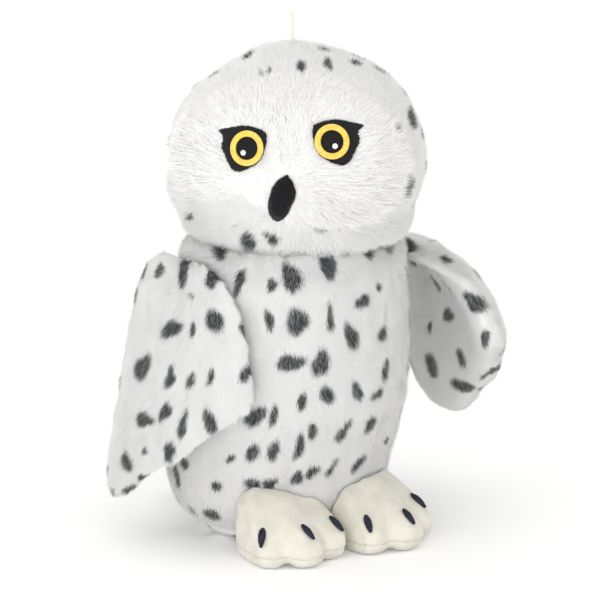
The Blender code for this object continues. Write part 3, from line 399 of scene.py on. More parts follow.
# charcoal spots, as the photo shows them: x, y, half width, half length in pixels, lean in degrees
seenSpots = [
    (325, 49, 2.5, 6, 79), (248, 55, 2.5, 7.2, -51), (356, 62, 3.4, 6.2, 60), (328, 64, 3.9, 6.9, 46),
    (301, 66, 4.4, 5.7, -45), (379, 69, 2.8, 6.2, 58), (214, 73, 2.8, 6, -54), (413, 117, 7.1, 8.9, 29),
    (408, 185, 5.1, 11.7, 6), (190, 217, 3, 3.3, 13), (369, 222, 3.3, 6.8, -69), (428, 223, 4, 9, 60),
    (351, 226, 2.7, 8.1, 90), (237, 222, 7, 9, 20), (250, 240, 6, 9, 25), (273, 236, 4.4, 9, 64),
    (443, 241, 3.8, 10.3, 46), (386, 244, 3.3, 10, 5), (401, 248, 7.6, 14.5, -8),
    (222, 252, 7.8, 8.2, -37), (366, 252, 5.1, 6.2, -13), (446, 257, 2.8, 6.1, 53),
    (327, 265, 7.5, 15.5, 21), (183, 271, 4.9, 15.3, -10), (215, 274, 6.4, 7.5, 12),
    (291, 277, 8.5, 17.4, 20), (240, 280, 4.8, 13.3, -24), (272, 283, 6.2, 6.3, 36),
    (380, 286, 2.8, 4.2, -8), (364, 300, 6.6, 8.1, -36), (472, 303, 6.8, 15.1, 38),
    (446, 315, 6.5, 10.3, -64), (331, 317, 4.2, 13.7, -1), (213, 319, 8.4, 13.3, 11),
    (269, 319, 4.6, 12, 14), (298, 320, 10.5, 14.1, 18), (170, 327, 7.4, 12.9, -39),
    (428, 327, 3.5, 4.2, 33), (192, 328, 2.7, 9.6, -1), (244, 329, 2.7, 9.3, 22),
    (383, 332, 4.1, 9.4, -18), (353, 335, 6.6, 15, 12), (484, 340, 5, 7.9, 0), (459, 358, 6.2, 8.3, 30),
    (430, 366, 6, 13, 8), (291, 362, 8.7, 15, -71), (322, 362, 8.1, 16.4, -3),
    (141, 366, 7.4, 13.5, -25), (387, 368, 3.3, 12.1, -9), (496, 371, 6.5, 15, 1),
    (246, 372, 6, 9.8, -22), (210, 375, 3.6, 8.5, -14), (169, 376, 5.7, 11.6, -16),
    (190, 379, 3.6, 10.2, -16), (462, 388, 9.3, 11.6, 64), (358, 390, 5.4, 10.3, -1),
    (379, 392, 4.4, 8.7, -38), (328, 394, 6.9, 9.9, -9), (303, 401, 4.6, 9.2, -18),
    (164, 410, 5.3, 10.8, -9), (273, 415, 4.6, 11.4, -11), (254, 416, 9, 12.9, -46),
    (143, 418, 6.8, 9.8, 43), (209, 421, 6, 15, 15), (182, 423, 4.1, 16.5, -7),
    (372, 423, 5.3, 8.5, -18), (314, 431, 4.8, 8.6, -15), (344, 431, 4.3, 12.8, -28),
    (388, 439, 2, 5, -40), (300, 446, 5.6, 13.4, -21), (144, 449, 2.3, 5.1, -1),
    (168, 450, 5.8, 10.8, -12), (273, 450, 5.8, 12.1, -14), (253, 452, 6, 10.3, -38),
    (105, 457, 4, 11.9, -14), (230, 458, 4, 5.4, -50), (126, 460, 6.5, 10.4, -2),
    (360, 463, 4.6, 10.6, -36), (332, 468, 3.2, 10, -35), (298, 478, 5, 9, -55), (313, 471, 5, 8, -60),
    (152, 475, 5.9, 10.1, -75), (253, 483, 5.5, 9, -88), (270, 483, 5.5, 9, -88),
    (215, 485, 4.4, 6.6, 45), (191, 510, 2.6, 8.2, 45), (210, 514, 4.8, 9.6, 68),
    (320, 229, 2.2, 7, 85), (344, 229, 2.2, 7, 80), (362, 227, 2.4, 6, 70), (379, 216, 2.4, 6, 50),
    (392, 203, 2.0, 5, 40), (261, 74, 1.8, 4.5, -8), (269, 72, 1.8, 4.5, -8), (398, 129, 2.4, 4.5, 20),
]
spotSettings = {
    # the spots that fill unseen cloth
    "spacing": 0.0195, "halfWidth": 0.0033, "halfLength": 0.0062, "leanSpread": 0.25,
    "spacingSpread": (0.85, 1.15), "widthSpread": (0.65, 1.4), "lengthSpread": (0.7, 1.35),
    "most": 1.9, "slant": 0.02,  # how far a seen spot may stretch, and the least slope for it
    "size": 0.93, "pull": 0.0016,  # roots sit back from where their tips show
    "edge": (0.62, 1.36), "wobble": (0.06, 0.2), "thirdWave": 0.7, "phase": (0, 6.28),
    "thickness": 0.0052, "reach": 1.6,
}


def spotsOnSkins(skins):
    # finds where each seen spot lies on the nearest skin: its middle and its two half axes
    trees = {name: treeOf(points, quads) for name, (points, normals, quads) in skins.items()}
    placed = {name: [] for name in skins}
    for x, y, halfWidth, halfLength, lean in seenSpots:
        hits = []
        for name, tree in trees.items():
            point, normal, _, distance = tree.ray_cast(cameraPoint, pixelRay(x, y))
            if point is not None:
                hits.append((distance, name, point, normal))
        if not hits:
            continue
        _, name, point, normal = min(hits, key=lambda hit: hit[0])
        lean = math.radians(lean)
        axes = []
        for across, down, size in (
            (math.cos(lean), -math.sin(lean), halfWidth * spotSettings["size"]),
            (math.sin(lean), math.cos(lean), halfLength * spotSettings["size"]),
        ):
            way = pixelRay(x + across * size, y + down * size)
            slope = way.dot(normal)
            side = None
            if abs(slope) > spotSettings["slant"]:
                side = way * ((point - cameraPoint).dot(normal) / slope) + cameraPoint - point
            most = size * view["pixel"] * spotSettings["most"]
            if side is None or side.length > most:
                plain = rightWay * across - upWay * down
                plain -= normal * plain.dot(normal)
                side = plain.normalized() * (most if side is not None else size * view["pixel"])
            axes.append(side)
        placed[name].append((point, axes[0], axes[1]))
    return placed


def scatteredSpots(points, normals, combs, spots, allowed, seed):
    # fills the unseen cloth with spots of the same kind, in a loose stagger
    chooser = np.random.default_rng(seed)
    middles = [np.array(spot[0]) for spot in spots]
    for index in chooser.permutation(len(points)):
        if not allowed[index]:
            continue
        point = points[index]
        spacing = spotSettings["spacing"] * chooser.uniform(*spotSettings["spacingSpread"])
        if middles and min(np.linalg.norm(np.array(middles) - point, axis=1)) < spacing:
            continue
        middles.append(point)
        length = spotSettings["halfLength"] * chooser.uniform(*spotSettings["lengthSpread"])
        width = spotSettings["halfWidth"] * chooser.uniform(*spotSettings["widthSpread"])
        lean = chooser.normal(0, spotSettings["leanSpread"])
        along = Vector(combs[index])
        across = Vector(np.cross(normals[index], combs[index]))
        spots.append((
            Vector(point),
            (across * math.cos(lean) - along * math.sin(lean)) * width,
            (along * math.cos(lean) + across * math.sin(lean)) * length,
        ))
    return spots


def spotCover(points, spots, seed):
    # 1 inside a spot, 0 outside, soft and uneven at its edge
    cover = np.zeros(len(points))
    chooser = np.random.default_rng(seed)
    for middle, across, along in spots:
        wobble = chooser.uniform(*spotSettings["wobble"])
        phase, phaseTwo = chooser.uniform(*spotSettings["phase"], 2)
        apart = points - np.array(middle)
        reach = spotSettings["reach"] * max(across.length, along.length)
        near = np.nonzero((apart**2).sum(axis=1) < reach**2)[0]
        if not len(near):
            continue
        apart = apart[near]
        cross = np.array(across.cross(along))
        depth = np.abs(apart @ cross) / max(np.linalg.norm(cross), 1e-12)
        # solve apart = a * across + b * along in the spot's own plane
        aa, bb, ab = across.dot(across), along.dot(along), across.dot(along)
        pa, pb = apart @ np.array(across), apart @ np.array(along)
        scale = max(aa * bb - ab * ab, 1e-18)
        a, b = (pa * bb - pb * ab) / scale, (pb * aa - pa * ab) / scale
        outness = np.hypot(a, b)
        theta = np.arctan2(b, a)
        edge = 1 + wobble * np.sin(2 * theta + phase)
        edge = edge + wobble * spotSettings["thirdWave"] * np.sin(3 * theta + phaseTwo)
        inside = (1 - between(*spotSettings["edge"], outness / edge)) * (depth < spotSettings["thickness"])
        cover[near] = np.maximum(cover[near], inside)
    return cover


def growPile(name, points, normals, quads, uvs, combs, lengths, lifts, density, tones, settings, colourOf):
    # pile of tapered fibres on a skin: density is in fibres on a square metre, lifts are angles in radians,
    # and combs are the ways in which the tips point
    corners = np.concatenate([quads[:, [0, 1, 2]], quads[:, [0, 2, 3]]])
    cornerUvs = np.concatenate([uvs[:, [0, 1, 2]], uvs[:, [0, 2, 3]]])
    a, b, c = (points[corners[:, k]] for k in range(3))
    areas = np.linalg.norm(np.cross(b - a, c - a), axis=1) / 2
    weights = areas * density[corners].mean(axis=1)
    count = int(weights.sum())
    chosen = rng.choice(len(corners), size=count, p=weights / weights.sum())
    shares = rng.random((count, 2))
    over = shares.sum(axis=1) > 1
    shares[over] = 1 - shares[over]
    bary = np.column_stack([1 - shares.sum(axis=1), shares])[:, :, None]

    def at(values):
        picked = values[corners[chosen]]
        return (picked * (bary if picked.ndim == 3 else bary[:, :, 0])).sum(axis=1)

    roots, outs = at(points), unit(at(normals))
    rootUvs = (cornerUvs[chosen] * bary).sum(axis=1)
    along = flat(at(combs), outs)
    across = np.cross(along, outs)
    swerve = rng.normal(0, settings["swerve"], count)[:, None]
    along = along * np.cos(swerve) + across * np.sin(swerve)
    length = at(lengths) * rng.uniform(*settings["lengthSpread"], count)
    lift = at(lifts) + rng.normal(0, settings["liftSpread"], count)
    low = lift + settings["bend"]
    high = lift - settings["bend"]
    first = along * np.cos(low)[:, None] + outs * np.sin(low)[:, None]
    second = along * np.cos(high)[:, None] + outs * np.sin(high)[:, None]
    sides = unit(np.cross(first, outs))
    roll = rng.normal(0, settings["roll"], count)[:, None]
    sides = sides * np.cos(roll) + np.cross(first, sides) * np.sin(roll)
    half = (settings["width"] / 2 * rng.uniform(*settings["widthSpread"], count))[:, None]
    start = roots - outs * settings["root"]
    # the fibres' colours, times the painted shade and painted light given for their cloth
    colours = colourOf(roots, count) * at(tones)[:, None]
    if settings["bent"]:
        middle = start + first * (length * 0.5)[:, None]
        tip = middle + second * (length * 0.5)[:, None]
        narrow = settings["narrow"]
        ring = [middle + sides * half * narrow, middle - sides * half * narrow, tip]
    else:
        ring = [start + (first + second) * (length / 2)[:, None]]
    made = np.stack([start - sides * half, start + sides * half, *ring], axis=1)
    if settings["clump"]:  # tips of neighbouring fibres lean together into tufts
        leaders = rng.permutation(count)[: max(1, int(count / settings["perClump"]))]
        tree = KDTree(len(leaders))
        for number, leader in enumerate(leaders):
            tree.insert(roots[leader], number)
        tree.balance()
        leader = leaders[np.array([tree.find(root)[1] for root in roots])]
        pulled = roots[leader] + (made[leader, -1] - roots[leader]) * (length / length[leader])[:, None]
        change = (pulled - made[:, -1]) * settings["clump"]
        made[:, -1] += change
        if settings["bent"]:
            made[:, 2:4] += change[:, None] * settings["middlePull"]
    corners = made.shape[1]
    made[:, :, 2] = np.maximum(made[:, :, 2], settings["floor"])
    index = np.arange(count)[:, None] * corners
    colours = np.repeat(colours[:, None, :], corners, axis=1)
    # painted shade deep in the pile: each fibre darker at its two root corners
    colours[:, :2] *= settings["rootShade"]
    colours = np.concatenate([colours, np.ones((count, corners, 1))], axis=2)
    ways = unit(outs + rng.normal(0, settings["sparkle"], (count, 3)))
    pile = makeMesh(
        name,
        made.reshape(-1, 3),
        index + np.array([[0, 1, 2, 3]]) if settings["bent"] else np.empty((0, 4), int),
        index + np.array([[3, 2, 4]] if settings["bent"] else [[0, 1, 2]]),
        np.repeat(rootUvs, corners, axis=0),
        colours.reshape(-1, 4),
        np.repeat(ways, corners, axis=0),
    )
    return pile


clothSettings = {"thickness": 0.0012, "lowest": 0.0002, "lowestInside": 0.0001, "fold": math.radians(66)}
perSquareMetre = 1e6  # from a count on one square millimetre


def clothPanel(name, points, quads, colours, material):
    # the panel's own cloth, unwrapped and given its thickness
    used, local = np.unique(quads, return_inverse=True)
    points = np.maximum(points, [-np.inf, -np.inf, clothSettings["lowest"]])
    cloth = makeMesh(name, points[used], local.reshape(-1, 4), np.empty((0, 3), int), None, colours[used])
    cloth.data.uv_layers.new(name="OFBake")
    cloth.data.materials.append(material)
    selectOnly([cloth])
    bpy.ops.object.mode_set(mode="EDIT")
    bpy.ops.mesh.select_all(action="SELECT")
    bpy.ops.uv.smart_project(angle_limit=clothSettings["fold"], island_margin=0.01)
    bpy.ops.object.mode_set(mode="OBJECT")
    uvs = np.empty(len(cloth.data.loops) * 2)
    cloth.data.uv_layers["OFBake"].data.foreach_get("uv", uvs)
    smoothShaded(cloth)
    modifier = cloth.modifiers.new("thickness", "SOLIDIFY")
    modifier.thickness = clothSettings["thickness"]
    modifier.offset = -1
    bpy.ops.object.modifier_apply(modifier=modifier.name)
    for vertex in cloth.data.vertices:
        vertex.co.z = max(vertex.co.z, clothSettings["lowestInside"])
    return cloth, uvs.reshape(-1, 4, 2)


def joinPieces(target, others):
    selectOnly([target, *others])
    bpy.ops.object.join()
    return target


charcoal = (0.045, 0.051, 0.056)
plushWhite = (0.95, 0.95, 0.945)
faceWhite = (0.955, 0.95, 0.94)
dyeSettings = {
    "edge": (0.15, 0.85), "scatter": 0.45,  # how sharply a spot's rim turns from white to charcoal
    "paleShare": 0.14, "paleDark": 0.55,  # of a spot's fibres, and how dark those are
    "whiteSpread": (0.93, 1.01), "inkSpread": (0.5, 2.2), "spotSeed": 11,
}


def dyed(spots, white):
    # each fibre is white or charcoal, or grey by chance at a spot's edge
    def colourOf(roots, count):
        cover = spotCover(roots, spots, dyeSettings["spotSeed"])
        scatter = rng.normal(0, dyeSettings["scatter"], count) * np.sqrt(cover * (1 - cover))
        dark = between(*dyeSettings["edge"], cover + scatter)[:, None]
        pale = rng.random(count) < dyeSettings["paleShare"]
        dark = dark * np.where(pale, dyeSettings["paleDark"], 1.0)[:, None]
        shade = rng.uniform(*dyeSettings["whiteSpread"], count)[:, None] * np.array(white)
        ink = rng.uniform(*dyeSettings["inkSpread"], count)[:, None] * np.array(charcoal)
        return shade * (1 - dark) + ink * dark

    return colourOf


# the skins of plush that carry pile
pileSettings = {
    "body": {
        "members": [
            "belly_panel", "back_panel_left", "back_panel_right", "base_panel", "body_stuffing", "bean_pouch",
            "neck_body_disc", "neck_lock_washer",
        ],
        "voxel": 0.0024, "smoothing": 10, "depth": 0.0026, "groove": 0.0010, "grooveWidth": 0.0040,
        "length": 0.0058, "lift": 0.52, "rides": "body",
    },
    "head": {
        "members": ["head_hood", "face_panel", "head_stuffing", "neck_post_disc"],
        "voxel": 0.0024, "smoothing": 8, "depth": 0.0027, "groove": 0.0006, "grooveWidth": 0.0040,
        "length": 0.0058, "lift": 0.52, "rides": "head",
    },
    "wingRight": {
        "members": ["wing_right_outer_panel", "wing_right_inner_panel", "wing_right_stuffing"],
        "voxel": 0.0019, "smoothing": 6, "depth": 0.0024, "groove": 0.0, "grooveWidth": 0.0040,
        "length": 0.0058, "lift": 0.50, "rides": "wing_right", "rise": 0.007, "riseBelow": 0.045,
    },
    "wingLeft": {
        "members": ["wing_left_outer_panel", "wing_left_inner_panel", "wing_left_stuffing"],
        "voxel": 0.0019, "smoothing": 6, "depth": 0.0024, "groove": 0.0, "grooveWidth": 0.0040,
        "length": 0.0058, "lift": 0.50, "rides": "wing_left", "puff": 0.004, "puffRim": (0.0005, 0.013),
    },
    "tail": {
        "members": ["tail"],
        "voxel": 0.0016, "smoothing": 4, "depth": 0.0022, "groove": 0.0, "grooveWidth": 0.0040,
        "length": 0.0055, "lift": 0.46, "rides": "body",
    },
}
# for each panel: its skin, its piece, fibres on a square millimetre, their share of the length, its slot
panels = {
    "belly_panel": ("body", "bellyPlush", 6.5, 1.0, "plush"),
    "back_panel_left": ("body", "backPlushLeft", 6.0, 1.0, "plush"),
    "back_panel_right": ("body", "backPlushRight", 6.0, 1.0, "plush"),
    "base_panel": ("body", "basePlush", 2.5, 0.5, "plush"),
    "head_hood": ("head", "hoodPlush", 6.0, 1.0, "plush"),
    "face_panel": ("head", "facePlush", 4.2, 1.0, "face_plush"),
    "wing_right_outer_panel": ("wingRight", "wingPlushRightOuter", 6.5, 1.0, "plush"),
    "wing_right_inner_panel": ("wingRight", "wingPlushRightInner", 3.0, 0.8, "plush"),
    "wing_left_outer_panel": ("wingLeft", "wingPlushLeftOuter", 6.5, 1.0, "plush"),
    "wing_left_inner_panel": ("wingLeft", "wingPlushLeftInner", 4.5, 0.8, "plush"),
    "tail": ("tail", "tailPlush", 4.5, 1.0, "plush"),
}
# the roots' shade in these settings is painted shade
fibres = {
    "bent": False, "width": 0.00040, "widthSpread": (0.7, 1.3), "lengthSpread": (0.7, 1.15),
    "swerve": 0.22, "liftSpread": 0.12, "bend": 0.1, "roll": 0.25, "root": 0.0003, "rootShade": 0.98,
    "floor": 0.0003, "sparkle": 0.08, "clump": 0.0, "perClump": 1,
}
faceFibres = {
    **fibres, "bent": True, "width": 0.00034, "narrow": 0.85, "swerve": 0.16, "bend": 0.26, "roll": 0.3,
    "sparkle": 0.05, "clump": 0.2, "perClump": 40, "middlePull": 0.4,
}

skins = {}
for group, settings in pileSettings.items():
    skin = roundedSkin(group + "Skin", settings["members"], settings["voxel"], settings["smoothing"])
    points, normals, quads = readSkin(skin)
    bpy.data.objects.remove(skin)
    if group == "wingLeft":  # the filling rounds out the wing's hollow side
        outer, inner = (distancesTo([settings["members"][number]], points) for number in (0, 1))
        points = points + normals * (settings["puff"] * between(*settings["puffRim"], outer - inner))[:, None]
        normals = normalsOf(points, quads)
    if group == "wingRight":  # the cloth rises to the neck at the shoulder
        top = points[:, 2].max()
        share = between(top - settings["riseBelow"], top, points[:, 2])[:, None]
        points = points + np.array([0, 0, settings["rise"]]) * share
        normals = normalsOf(points, quads)
    skins[group] = (points, normals, quads)
print("skins made:", {group: len(arrays[2]) for group, arrays in skins.items()})

eyeMiddles = {
    word: (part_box(f"eye_ring_{word}")[0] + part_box(f"eye_ring_{word}")[1]) / 2 for word in ("left", "right")
}
beakLow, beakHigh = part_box("beak")
beakMiddle = (beakLow + beakHigh) / 2
combSettings = {
    "faceRise": 0.006,  # of the point on the beak that the face's pile spreads from
    "bodyOutward": 0.25, "bodyMiddle": 0.015,
    "headBack": 0.4, "headDown": -1.7, "behind": (-0.02, 0.05),
    "eyeReach": 0.015, "eyePush": 0.85, "wingAlong": 1.6, "tailDown": -0.8,
}
faceMiddle = np.array(beakMiddle) + np.array([0, 0, combSettings["faceRise"]])
hinges = {joint["name"]: np.array(joint["pos_m"]) for joint in frame["joints"]}
placedSpots = spotsOnSkins(skins)
print("spots found:", {group: len(spots) for group, spots in placedSpots.items()})


def turned(combs, normals, angles):
    # each comb direction, turned over its cloth by the angle
    return combs * np.cos(angles)[:, None] + np.cross(normals, combs) * np.sin(angles)[:, None]


def combBody(points, normals):
    # downward, and a little outward from the body's middle line
    outward = points * np.array([1, 1, 0]) + np.array([0, combSettings["bodyMiddle"], 0])
    return flat(np.array([0, 0, -1.0]) + combSettings["bodyOutward"] * unit(outward), normals)


def combHead(points, normals):
    # back over the crown from the face, and down behind
    behind = between(*combSettings["behind"], points[:, 1])[:, None]
    back, down = np.array([0, combSettings["headBack"], 0]), np.array([0, 0, combSettings["headDown"]])
    return flat(unit(points - faceMiddle) + back + down * behind, normals)


def combFace(points, normals):
    # outward from the beak's top, and a little away from each eye
    way = unit(points - faceMiddle)
    for middle in eyeMiddles.values():
        apart = points - np.array(middle)
        near = np.exp(-((apart**2).sum(axis=1) / combSettings["eyeReach"] ** 2))[:, None]
        way = way + unit(apart) * near * combSettings["eyePush"]
    return flat(way, normals)


def combFrom(hinge, points, normals):
    # from the shoulder to the wing's tip
    far = points[np.argmax(((points - hinge) ** 2).sum(axis=1))]
    way = unit(far - hinge) * combSettings["wingAlong"] + unit(points - hinge)
    return flat(way, normals)


def combTail(points, normals):
    return flat(np.tile([0, 1.0, combSettings["tailDown"]], (len(points), 1)), normals)


# pixels of the line where the face's long pile ends; the chin's short spotted pile lies below it
chinLine = [
    (150, 176), (176, 188), (196, 197), (218, 198), (236, 197), (262, 206), (281, 220),
    (300, 223), (330, 225), (358, 219), (380, 207), (398, 186), (430, 148),
]


def belowChin(points):
    # how many metres each point lies below the chin line, as the camera sees it
    forward = points @ np.array(lookWay) - view["planeForward"]
    near = (view["distance"] - view["planeForward"]) / (view["distance"] - view["planeForward"] - forward)
    x = view["half"] + (points @ np.array(rightWay) - view["middleRight"]) * near / view["pixel"]
    y = view["half"] - (points @ np.array(upWay) - view["middleUp"]) * near / view["pixel"]
    line = np.interp(x, [spot[0] for spot in chinLine], [spot[1] for spot in chinLine])
    return (y - line) * view["pixel"]


bodyPile = {
    "seamShorter": 0.2, "hiddenSeam": 0.1,
    "neckLevels": (0.168, 0.180), "neckDepth": 0.9, "neckLength": 0.2, "neckLift": 0.3,
    "baseLevels": (0.012, 0.0), "baseDepth": 0.75, "baseLength": 0.6, "baseLift": 0.5,
}


def layOnBody(points, normals, pile):
    # fuller where it closes the neck's gap, and tucked in at the base
    pile["comb"] = combBody(points, normals)
    neck = between(*bodyPile["neckLevels"], points[:, 2])
    low = between(*bodyPile["baseLevels"], points[:, 2])
    pile["depth"] = pile["depth"] * (1 - bodyPile["neckDepth"] * neck) * (1 - bodyPile["baseDepth"] * low)
    pile["length"] = pile["length"] * (1 + bodyPile["neckLength"] * neck)
    pile["length"] = pile["length"] * (1 - bodyPile["baseLength"] * low)
    pile["lift"] = (pile["lift"] + bodyPile["neckLift"] * neck) * (1 - bodyPile["baseLift"] * low)


facePile = {
    "length": 0.0155, "shorterAtDetails": 0.0085, "detailReach": (0.002, 0.028),
    "lift": 0.46, "flatterAtDetails": 0.14, "nearDetails": (0.004, 0.024), "detailDepth": 0.0009,
    "bareRound": 0.0016,  # no fibre stands this near the beak and the eye patches
    "middleShare": 0.55, "middleReach": (0.010, 0.045),
    "crownShorter": 0.45, "crownLevels": (0.255, 0.285),
    "fringeShorter": 0.62, "fringeSide": (-0.002, -0.016), "fringeReach": (-0.020, -0.003),
    "seamReach": (0.006, 0.0), "seamDepth": 0.0010, "plainRim": 0.006,
    "chinDepth": 0.0034, "chinReach": (0.0, 0.005), "hoodReach": (0.0, 0.010),
}
hoodPile = {
    "napeLevels": (0.206, 0.194), "napeLength": 0.3, "napeLift": 0.2, "napeDepth": 0.9,
    "backPlace": (-0.036, 0.012), "backDepth": 0.0012, "backLift": 0.30,  # flatter behind the crown
    "cheekPixel": (181, 190), "cheekReach": 0.017, "cheekLength": 0.0055, "cheekLift": 0.28,
}


def layOnHead(points, normals, quads, toFace, toHood, pile):
    # long pile on the face, which is shorter round the eyes and the beak, and short pile elsewhere
    toDetail = distancesTo(["eye_patch_left", "eye_patch_right", "beak"], points)
    nearDetail = 1 - between(*facePile["nearDetails"], toDetail)
    under = belowChin(points)
    onFacePanel = toFace <= toHood
    chin = onFacePanel & (under > 0)
    onFace = onFacePanel & ~chin
    pile["comb"] = np.where(onFace[:, None], combFace(points, normals), combHead(points, normals))

    faceShort = 1 - between(*facePile["detailReach"], toDetail)
    faceLength = facePile["length"] - facePile["shorterAtDetails"] * faceShort
    fromMiddle = np.linalg.norm(points - faceMiddle, axis=1)
    share = facePile["middleShare"]
    faceLength = faceLength * (share + (1 - share) * between(*facePile["middleReach"], fromMiddle))
    faceLength = faceLength * (1 - facePile["crownShorter"] * between(*facePile["crownLevels"], points[:, 2]))
    aside = points @ np.array(rightWay) - beakMiddle.dot(rightWay)
    fringe = between(*facePile["fringeSide"], aside) * between(*facePile["fringeReach"], under)
    faceLength = faceLength * (1 - facePile["fringeShorter"] * fringe)

    nape = between(*hoodPile["napeLevels"], points[:, 2])
    cheek = treeOf(points, quads).ray_cast(cameraPoint, pixelRay(*hoodPile["cheekPixel"]))[0]
    tuft = np.exp(-(((points - np.array(cheek)) ** 2).sum(axis=1) / hoodPile["cheekReach"] ** 2))
    back = between(*hoodPile["backPlace"], points[:, 1])
    pile["length"] = np.where(onFace, faceLength, pile["length"] * (1 + hoodPile["napeLength"] * nape))
    pile["length"] = pile["length"] + hoodPile["cheekLength"] * tuft
    faceLift = facePile["lift"] - facePile["flatterAtDetails"] * nearDetail
    pile["lift"] = np.where(onFace, faceLift, pile["lift"] + hoodPile["napeLift"] * nape)
    pile["lift"] = pile["lift"] + hoodPile["cheekLift"] * tuft - hoodPile["backLift"] * back

    sink = chin * between(*facePile["chinReach"], under) * between(*facePile["hoodReach"], toHood)
    depth = pile["depth"] + facePile["chinDepth"] * sink
    depth = depth + facePile["seamDepth"] * between(*facePile["seamReach"], toFace)
    depth = (depth - hoodPile["backDepth"] * back) * (1 - hoodPile["napeDepth"] * nape)
    pile["depth"] = depth * (1 - nearDetail) + facePile["detailDepth"] * nearDetail
    pile["density"] = np.where(toDetail < facePile["bareRound"], 0.0, 1.0)
    return chin


# the rim's tone is painted shade, and the inner panel's tone is painted light
wingPile = {
    "rimReach": 0.005, "rimLift": 0.2, "rimLength": 0.2, "rimDensity": 0.5, "rimPaintedShade": 0.04,
    "innerPaintedLight": 0.04, "innerReach": (0.0, 0.004),
}


def layOnWing(points, normals, quads, hinge, toOuter, toInner, pile):
    # the rim's pile lies flat and close over the seam
    pile["comb"] = combFrom(hinge, points, normals)
    pile["depth"] = roomInside(points, normals, quads, pile["depth"])
    rim = np.exp(-(((toOuter - toInner) / wingPile["rimReach"]) ** 2))
    pile["lift"] = pile["lift"] - wingPile["rimLift"] * rim
    pile["length"] = pile["length"] * (1 - wingPile["rimLength"] * rim)
    pile["density"] = 1 + wingPile["rimDensity"] * rim
    inner = between(*wingPile["innerReach"], toOuter - toInner)
    # painted shade: pile and cloth darker along the rim; painted light: the inner panel, which lies in shade,
    # lighter
    pile["tone"] = 1 - wingPile["rimPaintedShade"] * rim + wingPile["innerPaintedLight"] * inner


tuftSettings = {
    "way": ((0.42, 0.011), (0.26, 0.005)), "lift": (0.16, 0.008), "length": (0.16, 0.010),
    "facing": 0.12, "wingsFrom": 0.070,  # what the camera sees of the cloth, and where the wings hide it
    "scatterSeed": 5,
}
for group, settings in pileSettings.items():
    points, normals, quads = skins[group]
    names = [name for name, panel in panels.items() if panel[0] == group]
    apart = np.stack([distancesTo([name], points) for name in names], axis=1)
    toPanel = {name: apart[:, number] for number, name in enumerate(names)}
    owners = apart[quads].mean(axis=1).argmin(axis=1)
    pile = {key: np.full(len(points), settings[key]) for key in ("depth", "length", "lift")}
    pile["density"], pile["tone"] = np.ones(len(points)), np.ones(len(points))
    if len(names) > 1:
        ordered = np.sort(apart, axis=1)
        seamNear = np.exp(-(((ordered[:, 1] - ordered[:, 0]) / settings["grooveWidth"]) ** 2))
        if group == "body":  # the pile hides the seam on the owl's left side
            nearest = np.sort(np.argsort(apart, axis=1)[:, :2], axis=1)
            seamNear *= np.where((nearest == [0, 1]).all(axis=1), bodyPile["hiddenSeam"], 1.0)
            pile["length"] *= 1 - bodyPile["seamShorter"] * seamNear
        pile["depth"] += settings["groove"] * seamNear
    chin = np.zeros(len(points), bool)
    if group == "body":
        layOnBody(points, normals, pile)
    elif group == "head":
        chin = layOnHead(points, normals, quads, toPanel["face_panel"], toPanel["head_hood"], pile)
    elif group == "tail":
        pile["comb"] = combTail(points, normals)
        pile["depth"] = roomInside(points, normals, quads, pile["depth"])
    else:  # a wing, whose first panel is the outer one
        layOnWing(points, normals, quads, hinges[settings["rides"] + "_flap"], apart[:, 0], apart[:, 1], pile)
    # tufts: the pile's way, lift and length wander a little over the cloth
    (wide, wideSize), (fine, fineSize) = tuftSettings["way"]
    wander = wide * cloudAt(points, wideSize, 1) + fine * cloudAt(points, fineSize, 2)
    combs = turned(pile["comb"], normals, wander)
    share, size = tuftSettings["lift"]
    lifts = pile["lift"] + share * cloudAt(points, size, 3)
    share, size = tuftSettings["length"]
    lengths = pile["length"] * (1 + share * cloudAt(points, size, 4))
    skinPoints = points - normals * pile["depth"][:, None]
    spots = []
    for middle, across, along in placedSpots[group]:
        nearest = np.argmin(((points - np.array(middle)) ** 2).sum(axis=1))
        spots.append((middle - Vector(combs[nearest]) * spotSettings["pull"], across, along))
    filled = normals @ np.array(lookWay) <= tuftSettings["facing"]
    if group == "body":  # the wings hide some of the front cloth
        filled |= np.abs(points[:, 0]) >= tuftSettings["wingsFrom"]
    elif group == "wingRight":
        filled |= apart[:, 0] > apart[:, 1]
    elif group == "head":
        filled &= (toPanel["face_panel"] >= facePile["plainRim"]) | chin
    scatteredSpots(points, normals, combs, spots, filled, tuftSettings["scatterSeed"])
    for number, name in enumerate(names):
        _, pieceName, strandsPerMm, lengthShare, slot = panels[name]
        own = quads[owners == number]
        isFace = name == "face_panel"
        white = faceWhite if isFace else plushWhite
        cover = spotCover(points, spots, dyeSettings["spotSeed"])[:, None]
        if isFace:
            cover = cover * chin[:, None]
        # the cloth's colour, times the same painted shade and painted light as its pile
        clothColours = (np.array(white) * (1 - cover) + np.array(charcoal) * cover) * pile["tone"][:, None]
        clothColours = np.concatenate([clothColours, np.ones((len(points), 1))], axis=1)
        material = facePlushMaterial if isFace else plushMaterial
        cloth, uvs = clothPanel(pieceName, skinPoints, own, clothColours, material)
        if isFace:
            onChin = chin[own].any(axis=1)
            parts = (
                (own[~onChin], uvs[~onChin], strandsPerMm, faceFibres, dyed([], faceWhite)),
                (own[onChin], uvs[onChin], panels["head_hood"][2], fibres, dyed(spots, plushWhite)),
            )
        else:
            parts = ((own, uvs, strandsPerMm, fibres, dyed(spots, white)),)
        piles = []
        for faces, faceUvs, strands, kind, colourOf in parts:
            density = pile["density"] * strands * perSquareMetre
            piles.append(growPile(
                pieceName + "Fibres", skinPoints, normals, faces, faceUvs, combs, lengths * lengthShare,
                lifts, density, pile["tone"], kind, colourOf,
            ))
            piles[-1].data.materials.append(material)
        piece = joinPieces(cloth, piles)
        piece.name = pieceName
        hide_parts(name)
        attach(piece, settings["rides"])
        print(pieceName, "faces:", len(piece.data.polygons))


